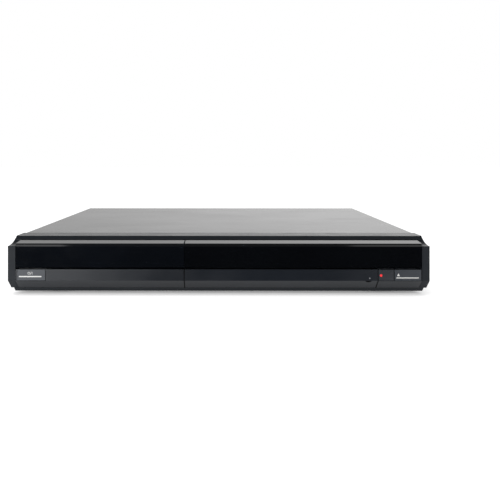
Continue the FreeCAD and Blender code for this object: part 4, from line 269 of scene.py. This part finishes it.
def printed(colour, roughness=0.45):
    """Screen print: flat ink with a slightly uneven film."""
    finish = Finish()
    finish.bump(finish.noise(scale=3000, detail=1), strength=0.2, distance=0.01 * MM)
    base = finish.tint(finish.noise(scale=700, detail=2), colour, spread=0.06)
    worn = finish.remap(finish.noise(scale=300), low=roughness - 0.05, high=roughness + 0.05)
    return finish.set(Base_Color=base, Roughness=worn)


def named(materials):
    """The same table, with each material named by its key."""
    for name, material in materials.items():
        material.name = name
    return materials


SATIN = srgb(15, 19, 25)
BUTTON = srgb(39, 43, 49)
CABLE_WIRE = 1.27 * MM
TAPE_TURN = 4 * MM

# Finishes by material slot.
FINISH = named({
    "panel_satin": plastic(srgb(27, 30, 34), 0.54, level=0.11, top=0.27),
    "band_gloss": gloss(srgb(7, 9, 13)),
    "window_gloss": gloss(srgb(5, 6, 8)),
    "fascia_satin": plastic(SATIN, 0.33, level=0.27),
    "flap_satin": plastic(SATIN, 0.33, level=0.27),
    "power_button": plastic(BUTTON, 0.34, level=0.34),
    "record_button": plastic(srgb(29, 32, 37), 0.34, level=0.34),
    "open_close_button": plastic(BUTTON, 0.34, level=0.34),
    "small_buttons": plastic(srgb(58, 59, 62), 0.4),
    "circuit_board": circuit_board(srgb(20, 74, 42)),
    "switch_plastic": plastic(srgb(40, 40, 42), 0.5),
    "jack_front": plastic(srgb(24, 24, 26), 0.42),
    "jack_rear": plastic(srgb(24, 24, 26), 0.42),
    "black_plastic": plastic(srgb(26, 27, 29), 0.48),
    "socket_shell": metal(srgb(196, 196, 190), 0.3, grain=(1, 1, 20)),
    "display_glass": glass(srgb(22, 34, 34), 0.08),
    "cover_paint": painted_sheet(srgb(42, 41, 40), 0.24, 0.5),
    "galvanised": metal(srgb(168, 170, 168), 0.38, grain=(1, 12, 12), spangle=0.5),
    "foot_plastic": plastic(srgb(28, 28, 29), 0.55, grain=900, depth=0.04 * MM),
    "screw_steel": metal(srgb(66, 66, 68), 0.34, grain=(1, 1, 1), scale=900),
    "drive_plastic": plastic(srgb(30, 30, 32), 0.5, grain=1200, depth=0.03 * MM),
    "tray_plastic": plastic(srgb(32, 32, 34), 0.42, grain=1500, depth=0.02 * MM),
    "gear_plastic": plastic(srgb(224, 222, 212), 0.42, spread=0.05),
    "motor_steel": metal(srgb(184, 184, 182), 0.26, grain=(1, 1, 30)),
    "belt_rubber": plastic(srgb(30, 30, 30), 0.7, grain=2600),
    "frame_steel": metal(srgb(176, 178, 178), 0.34, grain=(20, 1, 20), spangle=0.25),
    "rod_steel": metal(srgb(214, 214, 214), 0.16, grain=(40, 1, 40)),
    "turntable_plastic": plastic(srgb(40, 40, 42), 0.5),
    "sled_metal": metal(srgb(150, 152, 156), 0.42, grain=(1, 1, 1), scale=700),
    "lens_glass": glass(srgb(84, 92, 150), 0.05),
    "clamper_plastic": plastic(srgb(205, 204, 198), 0.45, spread=0.05),
    "disk_metal": metal(srgb(178, 180, 184), 0.36, grain=(1, 14, 1)),
    "heatsink": metal(srgb(170, 172, 176), 0.4, grain=(1, 30, 1)),
    "cable_grey": striped(srgb(150, 150, 150), srgb(188, 188, 186), CABLE_WIRE, "X", 0.55),
    "transformer": striped(srgb(196, 150, 32), srgb(226, 184, 60), TAPE_TURN, "Z", 0.4),
    "fan_plastic": plastic(srgb(27, 27, 28), 0.45),
})

for row in frame["record"]["subparts"]:
    node = frame["nodes"][row["node"]]
    node.data.materials.clear()
    node.data.materials.append(FINISH[row["material_slot"]])

TRIM_AND_SHADE = named({
    "white_print": printed(srgb(184, 184, 182)),
    "pale_print": printed(srgb(112, 114, 117)),
    "grey_print": printed(srgb(150, 152, 156)),
    "red_print": printed(srgb(236, 44, 48), 0.3),
    # Near-black sheet for painted shade in seam gaps, the finger notch and screw recesses.
    "painted_shade_black": plastic(srgb(6, 6, 7), 0.75, level=0.1),
    "nickel": metal(srgb(206, 202, 192), 0.2, grain=(1, 30, 1)),
})
JACK_COLOURS = {"yellow": srgb(228, 186, 30), "white": srgb(222, 222, 218),
                "red": srgb(196, 32, 34), "green": srgb(38, 140, 66), "blue": srgb(34, 78, 170)}
TRIM_AND_SHADE |= named({f"jack_{name}": plastic(colour, 0.36, level=0.4, spread=0.06)
               for name, colour in JACK_COLOURS.items()})

# Solids and outlines

INK = 0.04 * MM


def solid(name, bm, material):
    """Object of a finished bmesh, with outward normals."""
    bmesh.ops.recalc_face_normals(bm, faces=bm.faces)
    mesh = bpy.data.meshes.new(name)
    bm.to_mesh(mesh)
    bm.free()
    mesh.materials.append(material)
    thing = bpy.data.objects.new(name, mesh)
    bpy.context.scene.collection.objects.link(thing)
    return thing


def piece(name, bm, finish, body):
    """Finished solid that rides on a body."""
    thing = solid(name, bm, TRIM_AND_SHADE[finish])
    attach(thing, body)
    return thing


def plate(bm, outline, rise):
    """Closed plate: a flat outline of corners, thickened by the vector rise."""
    low = [bm.verts.new(corner) for corner in outline]
    high = [bm.verts.new(Vector(corner) + rise) for corner in outline]
    bm.faces.new(low)
    bm.faces.new(high)
    for i in range(len(outline)):
        j = (i + 1) % len(outline)
        bm.faces.new((low[i], low[j], high[j], high[i]))


def turned(bm, centre, profile, facing, steps=40):
    """Ring about an axis along Y: profile points are (radius, distance along the axis)."""
    rings = []
    for step in range(steps):
        turn = 2 * math.pi * step / steps
        spoke = Vector((math.cos(turn), 0, math.sin(turn)))
        rings.append([bm.verts.new(centre + spoke * radius + Vector((0, facing * along, 0)))
                      for radius, along in profile])
    for i in range(steps):
        near, far = rings[i], rings[(i + 1) % steps]
        for j in range(len(profile)):
            k = (j + 1) % len(profile)
            bm.faces.new((near[j], far[j], far[k], near[k]))


def arc(x, z, radius, start, end, steps):
    """Points of an arc between two angles in degrees."""
    turns = [math.radians(start + (end - start) * step / steps) for step in range(steps + 1)]
    return [(x + radius * math.cos(turn), z + radius * math.sin(turn)) for turn in turns]


def rounded_bar(left, right, low, high, corner):
    """Outline of a bar with rounded corners."""
    centres = ((right - corner, high - corner), (left + corner, high - corner),
               (left + corner, low + corner), (right - corner, low + corner))
    points = []
    for quarter, (x, z) in enumerate(centres):
        points += arc(x, z, corner, 90 * quarter, 90 * (quarter + 1), steps=4)
    return points


def disc(x, z, radius):
    """Outline of a round dot."""
    return arc(x, z, radius, 0, 360, steps=32)[:-1]


def arc_band(x, z, radius, width, start, end, steps=28):
    """Outline of an open ring between two angles."""
    outer = arc(x, z, radius + width / 2, start, end, steps)
    inner = arc(x, z, radius - width / 2, start, end, steps)
    return outer + inner[::-1]


# Printed signs

# Heights are above the floor, and insets are from the edges of a button.
LINE = 0.36 * MM
LINE_CORNER = 0.1 * MM
BAR_CORNER = 0.3 * MM


def mark(name, outlines, ink, body, depth=FRONT):
    """Printed sign on a face that looks to the front."""
    bm = bmesh.new()
    for outline in outlines:
        plate(bm, [(x, depth, z) for x, z in outline], OUT * INK)
    piece(name, bm, ink, body)


def stroke(x, low, high):
    """Outline of an upright line."""
    return rounded_bar(x - LINE / 2, x + LINE / 2, low, high, LINE_CORNER)


def power_marks():
    """Bar on the power button, and above it an open circle with a stem, a slash and a line."""
    button_low, button_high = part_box("power_button")
    left, right = button_low.x + 1.8 * MM, button_high.x - 3.6 * MM
    low, high = 20.0 * MM, 21.2 * MM
    mark("power_bar", [rounded_bar(left, right, low, high, BAR_CORNER)],
         "white_print", "power_button")
    middle = 24.0 * MM
    foot, head = middle - 1.3 * MM, middle + 1.4 * MM
    circle = (left + right) / 2 - 1.4 * MM
    radius, half_gap, stem = 1.15 * MM, 28, 1.6 * MM
    slash = circle + 2.1 * MM
    outer, inner = 0.7 * MM, 0.35 * MM
    upright = slash + 1.3 * MM
    mark("power_sign", [
        arc_band(circle, middle, radius, LINE, 90 + half_gap, 450 - half_gap),
        stroke(circle, middle, middle + stem),
        [(slash - outer, foot), (slash - inner, foot), (slash + outer, head), (slash + inner, head)],
        stroke(upright, foot, head),
    ], "white_print", "power_button")


def record_mark():
    """Red dot on the record button."""
    inset, height, radius = 2.6 * MM, 21.9 * MM, 1.3 * MM
    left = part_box("record_button")[0].x
    mark("record_dot", [disc(left + inset, height, radius)],
         "red_print", "record_button")


def open_close_marks():
    """Bar and triangle on the open and close button."""
    button_low, button_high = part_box("open_close_button")
    left, right = button_low.x + 1.9 * MM, button_high.x - 3.0 * MM
    low, high = 19.0 * MM, 20.0 * MM
    mark("open_close_bar", [rounded_bar(left, right, low, high, BAR_CORNER)],
         "white_print", "open_close_button")
    peak, half = button_low.x + 4.2 * MM, 1.55 * MM
    foot, head = 21.3 * MM, 24.1 * MM
    mark("open_close_sign", [[(peak - half, foot), (peak + half, foot), (peak, head)]],
         "white_print", "open_close_button")


def flap_mark():
    """Dot over the finger notch of the flap."""
    x, height, radius = 154.1 * MM, 19.1 * MM, 0.75 * MM
    mark("flap_dot", [disc(x, height, radius)], "pale_print", "front_flap")


def small_button_marks():
    """Stop, play, down and up signs on the buttons behind the flap."""
    half = 0.9 * MM
    square = [(-half, -half), (half, -half), (half, half), (-half, half)]
    right = [(-half, -half), (half, 0), (-half, half)]
    down = [(-half, half), (0, -half), (half, half)]
    up = [(-half, -half), (half, -half), (0, half)]
    for body, shape in (("stop_button", square), ("play_button", right),
                        ("channel_down_button", down), ("channel_up_button", up)):
        low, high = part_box(body)
        middle = (low + high) / 2
        mark(body.replace("button", "sign"), [[(middle.x + x, middle.z + z) for x, z in shape]],
             "grey_print", body, low.y)


# Seams: thin black strips of painted shade over the gaps between parts

BEVEL_TOP = 16.5 * MM
BEVEL_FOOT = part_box("front_flap")[0].z
BAND_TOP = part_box("front_flap")[1].z
BEVEL_RUN = BEVEL_TOP - BEVEL_FOOT
# Width of each strip of painted seam shade.
SEAM_SHADE_WIDTH = 0.4 * MM
BUTTON_PLAY = 0.2 * MM
FLAP_PIN = 1.4 * MM
DOWN_OUT = Vector((0, -1, -1)).normalized()
DOWN_BEVEL = Vector((0, 1, -1)).normalized()

# Side view of the sloped strip over the gloss pieces.
STRIP_START = 0.3 * MM
STRIP_RUN = 17.2 * MM
STRIP_RISE = 1.7 * MM

# Finger notch of the flap: an arc that sinks below the top of the bevel.
NOTCH_CENTRE = 153.0 * MM
NOTCH_HALF = 3.4 * MM
NOTCH_DROP = 1.9 * MM
NOTCH_DEPTH = 2.35 * MM
# Thickness of the notch's sheet of painted shade.
NOTCH_SHADE_THICK = 0.03 * MM


def band_edge(x, width, top=BAND_TOP, bottom=BEVEL_TOP):
    """Strip down the band from x sideways."""
    return (x, FRONT, bottom), (x, FRONT, top), Vector((width, 0, 0)), OUT


def bevel_edge(x, width):
    """Strip down the bevel from x sideways."""
    foot = (x, FRONT + BEVEL_RUN, BEVEL_FOOT)
    return (x, FRONT, BEVEL_TOP), foot, Vector((width, 0, 0)), DOWN_OUT


def bevel_line(left, right):
    """Strip along the top of the bevel, under a button."""
    return (left, FRONT, BEVEL_TOP), (right, FRONT, BEVEL_TOP), DOWN_BEVEL * SEAM_SHADE_WIDTH, DOWN_OUT


def seam(name, body, strips):
    """Piece of painted seam shade: each strip is (start, end, vector across, normal of its face)."""
    bm = bmesh.new()
    for start, end, across, normal in strips:
        start, end = Vector(start), Vector(end)
        plate(bm, [start, end, end + across, start + across], normal * INK)
    piece(name, bm, "painted_shade_black", body)


def front_seams():
    """Black strips of painted shade along the seams of flap, fascias and buttons."""
    flap_low, flap_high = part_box("front_flap")
    left_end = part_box("left_fascia")[1].x
    right_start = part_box("right_fascia")[0].x
    power_low, power_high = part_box("power_button")
    record_low, record_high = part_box("record_button")
    open_low, open_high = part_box("open_close_button")
    opening = power_high.x + BUTTON_PLAY
    flap_left, flap_right = flap_low.x + FLAP_PIN, flap_high.x - FLAP_PIN
    half = SEAM_SHADE_WIDTH / 2
    seam("left_fascia_seam_shade", "housing", [
        band_edge(left_end, -SEAM_SHADE_WIDTH),
        bevel_edge(left_end, -SEAM_SHADE_WIDTH),
        band_edge(opening, SEAM_SHADE_WIDTH),
        bevel_line(power_low.x, opening + SEAM_SHADE_WIDTH),
    ])
    seam("right_fascia_seam_shade", "housing", [
        bevel_edge(right_start, SEAM_SHADE_WIDTH),
        bevel_line(right_start, open_high.x),
    ])
    seam("flap_seam_shade", "front_flap", [
        band_edge(flap_left, SEAM_SHADE_WIDTH),
        bevel_edge(flap_left, SEAM_SHADE_WIDTH),
        band_edge(flap_right, -SEAM_SHADE_WIDTH),
        bevel_edge(flap_right, -SEAM_SHADE_WIDTH),
    ])
    seam("record_button_seam_shade", "record_button", [
        band_edge(record_high.x - half, half, record_high.z, record_low.z),
    ])
    seam("open_close_button_seam_shade", "open_close_button", [
        band_edge(open_low.x, half, open_high.z, open_low.z),
        band_edge(open_high.x, -SEAM_SHADE_WIDTH, open_high.z, open_low.z),
    ])


def gloss_seams():
    """Painted shade on the sloped strip along the seam where the tray bezel meets the display window.
    """
    slope = Vector((0, STRIP_RUN, STRIP_RISE)).normalized()
    upward = Vector((0, -slope.z, slope.y))
    bezel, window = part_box("tray_bezel")[1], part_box("display_window")[0]
    top = bezel.z
    for name, x, width, body, slot in (
            ("bezel_seam_shade", bezel.x, -SEAM_SHADE_WIDTH, "tray", "band_gloss"),
            ("window_seam_shade", window.x, SEAM_SHADE_WIDTH, "housing", "window_gloss")):
        rear = Vector((x, FRONT + STRIP_START + STRIP_RUN, top))
        front = rear - Vector((0, STRIP_RUN, STRIP_RISE))
        seam(name, body, [(front, rear, Vector((width, 0, 0)), upward)])


def notch_painted_shade():
    """Black sheet of painted shade in the flap's finger notch: a floor along the notch's arc, and its
    back.
    """
    radius = (NOTCH_HALF ** 2 + NOTCH_DROP ** 2) / (2 * NOTCH_DROP)
    sweep = math.asin(NOTCH_HALF / radius)
    steps = 16
    bm = bmesh.new()
    front_row, back_row = [], []
    for step in range(steps + 1):
        turn = sweep * (2 * step / steps - 1)
        x = NOTCH_CENTRE + radius * math.sin(turn)
        z = BEVEL_TOP - NOTCH_DROP + radius * (1 - math.cos(turn)) + INK
        front_row.append(bm.verts.new((x, FRONT + BEVEL_TOP - z + INK, z)))
        back_row.append(bm.verts.new((x, FRONT + NOTCH_DEPTH, z)))
    for i in range(steps):
        bm.faces.new((front_row[i], front_row[i + 1], back_row[i + 1], back_row[i]))
    bm.faces.new(back_row)
    shade_sheet = piece("notch_painted_shade", bm, "painted_shade_black", "front_flap")
    thicken = shade_sheet.modifiers.new("thickness", "SOLIDIFY")
    thicken.thickness = NOTCH_SHADE_THICK
    thicken.offset = 0.0


# Phono jacks

# Rows of jacks: name of their pieces, name of their mounts, number of the first, and colours.
JACK_ROWS = (("rear_jack_0", "rear_av_jack", 5, ("green", "blue", "red", "white")),
             ("rear_jack_1", "rear_av_jack", 1, ("yellow", "white", "red", "red")),
             ("front_jack", "front_av_jack", 1, ("yellow", "white", "red")))

# A coloured ring on the collar, a nickel sleeve with a rolled lip, and a coloured core.
RING_INSIDE = 4.2 * MM
RING_OUTSIDE = 4.95 * MM
RING_HEIGHT = 0.8 * MM
RING_BEVEL = 0.2 * MM
RING_INNER_BEVEL = 0.15 * MM
SLEEVE_INSIDE = 4.16 * MM
SLEEVE_OUTSIDE = 4.28 * MM
SLEEVE_ROLL = 0.15 * MM
LIP_INSIDE = 3.3 * MM
LIP_THICK = 0.03 * MM
CORE_INSIDE = 1.65 * MM
CORE_OUTSIDE = 3.2 * MM
CORE_THICK = 0.04 * MM
CORE_BEVEL = 0.1 * MM


def jack_profiles(reach):
    """Profiles of a jack's ring, sleeve and core; reach is the barrel's length."""
    ring = [(RING_INSIDE, 0.0), (RING_OUTSIDE, 0.0), (RING_OUTSIDE, RING_HEIGHT - RING_BEVEL),
            (RING_OUTSIDE - RING_BEVEL, RING_HEIGHT),
            (RING_INSIDE + RING_INNER_BEVEL, RING_HEIGHT),
            (RING_INSIDE, RING_HEIGHT - RING_INNER_BEVEL)]
    lip = reach + LIP_THICK
    sleeve = [(SLEEVE_INSIDE, RING_HEIGHT), (SLEEVE_OUTSIDE, RING_HEIGHT),
              (SLEEVE_OUTSIDE, reach - SLEEVE_ROLL), (SLEEVE_INSIDE, lip), (LIP_INSIDE, lip),
              (LIP_INSIDE, reach), (SLEEVE_INSIDE, reach)]
    shoulder, face = reach + CORE_THICK / 2, reach + CORE_THICK
    core = [(CORE_INSIDE, reach), (CORE_OUTSIDE, reach), (CORE_OUTSIDE, shoulder),
            (CORE_OUTSIDE - CORE_BEVEL, face), (CORE_INSIDE + CORE_BEVEL, face),
            (CORE_INSIDE, shoulder)]
    return ring, sleeve, core


def jacks():
    """Trim of every phono jack. A mount lies midway between the collar and the barrel's end."""
    mounts = {mount["name"]: mount for mount in frame["record"]["mounts"]}
    for row_name, mount_name, first, colours in JACK_ROWS:
        low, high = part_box(f"{mount_name}s")
        for column, colour in enumerate(colours):
            mount = mounts[f"{mount_name}_{first + column}"]
            facing = mount["axis"][1]
            x, y, z = mount["pos_m"]
            half = abs((high.y if facing > 0 else low.y) - y)
            collar = Vector((x, y - facing * half, z))
            ring, sleeve, core = jack_profiles(2 * half)
            for part, profile, finish in (("ring", ring, f"jack_{colour}"),
                                          ("sleeve", sleeve, "nickel"),
                                          ("core", core, f"jack_{colour}")):
                bm = bmesh.new()
                turned(bm, collar, profile, facing)
                piece(f"{row_name}_{column}_{part}", bm, finish, "housing")


# Screw heads

# Side screws are measured back from the front face, and rear ones down from the top.
SIDE_SCREWS = (110 * MM, 228 * MM)
SIDE_SCREW_HEIGHT = 14 * MM
REAR_SCREWS = (-204 * MM, 0, 204 * MM)
REAR_SCREW_DROP = 5.5 * MM
CROSS_ARM = 1.7 * MM
CROSS_HALF = 0.34 * MM


def cross_outline():
    """Outline of an upright cross."""
    points = []
    for turn in range(4):
        for a, b in ((-CROSS_HALF, -CROSS_ARM), (CROSS_HALF, -CROSS_ARM), (CROSS_HALF, -CROSS_HALF)):
            for _ in range(turn):
                a, b = -b, a
            points.append((a, b))
    return points


def screw_cross_shade():
    """Painted shade of the cross recesses of the cover screws: dark crosses laid on their heads."""
    low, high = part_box("cover_screws")
    heads = [(Vector((x, FRONT + y, SIDE_SCREW_HEIGHT)), Vector((side, 0, 0)), Vector((0, 1, 0)))
             for x, side in ((low.x, -1), (high.x, 1)) for y in SIDE_SCREWS]
    heads += [(Vector((x, high.y, TOP - REAR_SCREW_DROP)), Vector((0, 1, 0)), Vector((1, 0, 0)))
              for x in REAR_SCREWS]
    bm = bmesh.new()
    for place, normal, along in heads:
        up = normal.cross(along)
        plate(bm, [place + along * a + up * b for a, b in cross_outline()], normal * INK)
    piece("screw_cross_shade", bm, "painted_shade_black", "housing")


power_marks()
record_mark()
open_close_marks()
flap_mark()
small_button_marks()
front_seams()
gloss_seams()
notch_painted_shade()
jacks()
screw_cross_shade()

# Studio

# The surroundings light the object evenly. In reflections they brighten from left to right,
# and their ceiling is dark. Sides and heights are parts of a direction.
WORLD_LEVEL = 0.55
CEILING_START = 0.3
CEILING_END = 0.7
CEILING_GLOW = 0.1
LEFT_GLOW = 0.86
RIGHT_GLOW = 1.27
LEFT_SIDE = -0.38
RIGHT_SIDE = 0.24

# The floor's glow fades close under the object, where its contact shadow lies.
FLOOR_SIZE = 6.0
FLOOR_GLOW = 0.62
FLOOR_SHADE = 0.016
FLOOR_SHADE_POWER = 0.25

# A black studio flag in front keeps the front face dark in its own reflections. Its near edge
# bows towards the object, so the ends of the face see more of the pale floor than its middle.
FLAG_SIDE = 0.8
FLAG_BACK = -1.6
FLAG_TOP = 0.16
FLAG_LIFT = 0.001
FLAG_NEAR = [(-0.8, -0.3), (-0.26, -0.3), (-0.16, -0.27), (-0.08, -0.2), (0.14, -0.19),
             (0.24, -0.26), (0.3, -0.3), (0.8, -0.3)]

# Soft lamps: name, place, target, width and height, and watts.
LAMPS = (
    ("key", (-0.3, -0.9, 1.6), (0, 0, 0), (1.0, 0.8), 8),
    ("left_fill", (-0.57, -0.95, 0.07), (-0.15, -0.17, 0.02), (0.6, 0.1), 7.2),
    ("right_fill", (0.62, -1.0, 0.07), (0.2, -0.17, 0.02), (0.3, 0.1), 1.8),
    ("left_edge", (-0.57, -0.97, 0.88), (-0.19, -0.17, 0.05), (0.16, 0.15), 0.1),
    ("right_edge", (0.51, -0.97, 0.88), (0.19, -0.17, 0.05), (0.25, 0.15), 0.08),
)


def stage_material(name, colour, glow, reach=0.0):
    """Surface of the stage: a lit colour, and for the camera, mirrors and glass a plain glow.

    Where reach is given, the glow fades in corners that are closed to the sky within it.
    """
    finish = Finish()
    finish.material.name = name
    camera, mirrored = finish.rays()
    level = finish.combine("MULTIPLY", finish.combine("MAXIMUM", camera, mirrored), glow)
    if reach:
        sky = finish.add("ShaderNodeAmbientOcclusion", {"Distance": reach}).outputs["AO"]
        level = finish.combine("MULTIPLY", level, finish.combine("POWER", sky, FLOOR_SHADE_POWER))
    return finish.set(Base_Color=colour, Roughness=1.0, Specular_IOR_Level=0.0,
                      Emission_Color=(1, 1, 1, 1), Emission_Strength=level)


def pale_floor():
    """Pale floor under the object."""
    bm = bmesh.new()
    bmesh.ops.create_grid(bm, x_segments=4, y_segments=4, size=FLOOR_SIZE)
    white = stage_material("floor_white", srgb(232, 232, 232), FLOOR_GLOW, FLOOR_SHADE)
    solid("floor", bm, white)


def black_flag():
    """Black flag in front of the object, seen only in reflections."""
    bm = bmesh.new()
    near = [bm.verts.new((x, y, FLAG_LIFT)) for x, y in FLAG_NEAR]
    foot = [bm.verts.new((side, FLAG_BACK, FLAG_LIFT)) for side in (FLAG_SIDE, -FLAG_SIDE)]
    top = [bm.verts.new((side, FLAG_BACK, FLAG_TOP)) for side in (-FLAG_SIDE, FLAG_SIDE)]
    bm.faces.new(near + foot)
    bm.faces.new(foot + top)
    thing = solid("flag", bm, stage_material("flag_black", srgb(20, 20, 20), glow=0.0))
    thing.visible_camera = False
    thing.visible_diffuse = False
    thing.visible_shadow = False


def white_world():
    """World that is white to the camera, graded in reflections and even as a light."""
    world = bpy.data.worlds.new("studio")
    bpy.context.scene.world = world
    world.use_nodes = True
    nodes = Nodes(world.node_tree)
    way = nodes.add("ShaderNodeTexCoord").outputs["Generated"]
    parts = nodes.add("ShaderNodeSeparateXYZ", {0: way}).outputs
    ceiling = nodes.remap(parts["Z"], 1.0, CEILING_GLOW, CEILING_START, CEILING_END,
                          interpolation_type="SMOOTHSTEP")
    sides = nodes.remap(parts["X"], LEFT_GLOW, RIGHT_GLOW, LEFT_SIDE, RIGHT_SIDE,
                        interpolation_type="SMOOTHSTEP")
    camera, mirrored = nodes.rays()
    level = nodes.choose(mirrored, WORLD_LEVEL, nodes.combine("MULTIPLY", ceiling, sides))
    back = world.node_tree.nodes["Background"]
    nodes.give(back, "Color", (1, 1, 1, 1))
    nodes.give(back, "Strength", nodes.choose(camera, level, 1.0))


def soft_lamps():
    """Soft lamps of the studio."""
    for name, place, target, size, power in LAMPS:
        data = bpy.data.lights.new(name, "AREA")
        data.shape = "ELLIPSE"
        data.size, data.size_y = size
        data.energy = power
        thing = bpy.data.objects.new(name, data)
        thing.location = place
        aim = Vector(target) - Vector(place)
        thing.rotation_euler = aim.to_track_quat("-Z", "Y").to_euler()
        bpy.context.scene.collection.objects.link(thing)


def photo_camera():
    """Camera of the photograph."""
    data = bpy.data.cameras.new("camera")
    data.lens = CAMERA_LENS
    data.shift_x, data.shift_y = CAMERA_SHIFT
    data.clip_start = CAMERA_NEAR
    thing = bpy.data.objects.new("camera", data)
    thing.location = CAMERA_PLACE
    thing.rotation_euler = CAMERA_TURN
    bpy.context.scene.collection.objects.link(thing)
    bpy.context.scene.camera = thing


bpy.context.scene.view_settings.view_transform = "Standard"
pale_floor()
black_flag()
white_world()
soft_lamps()
photo_camera()
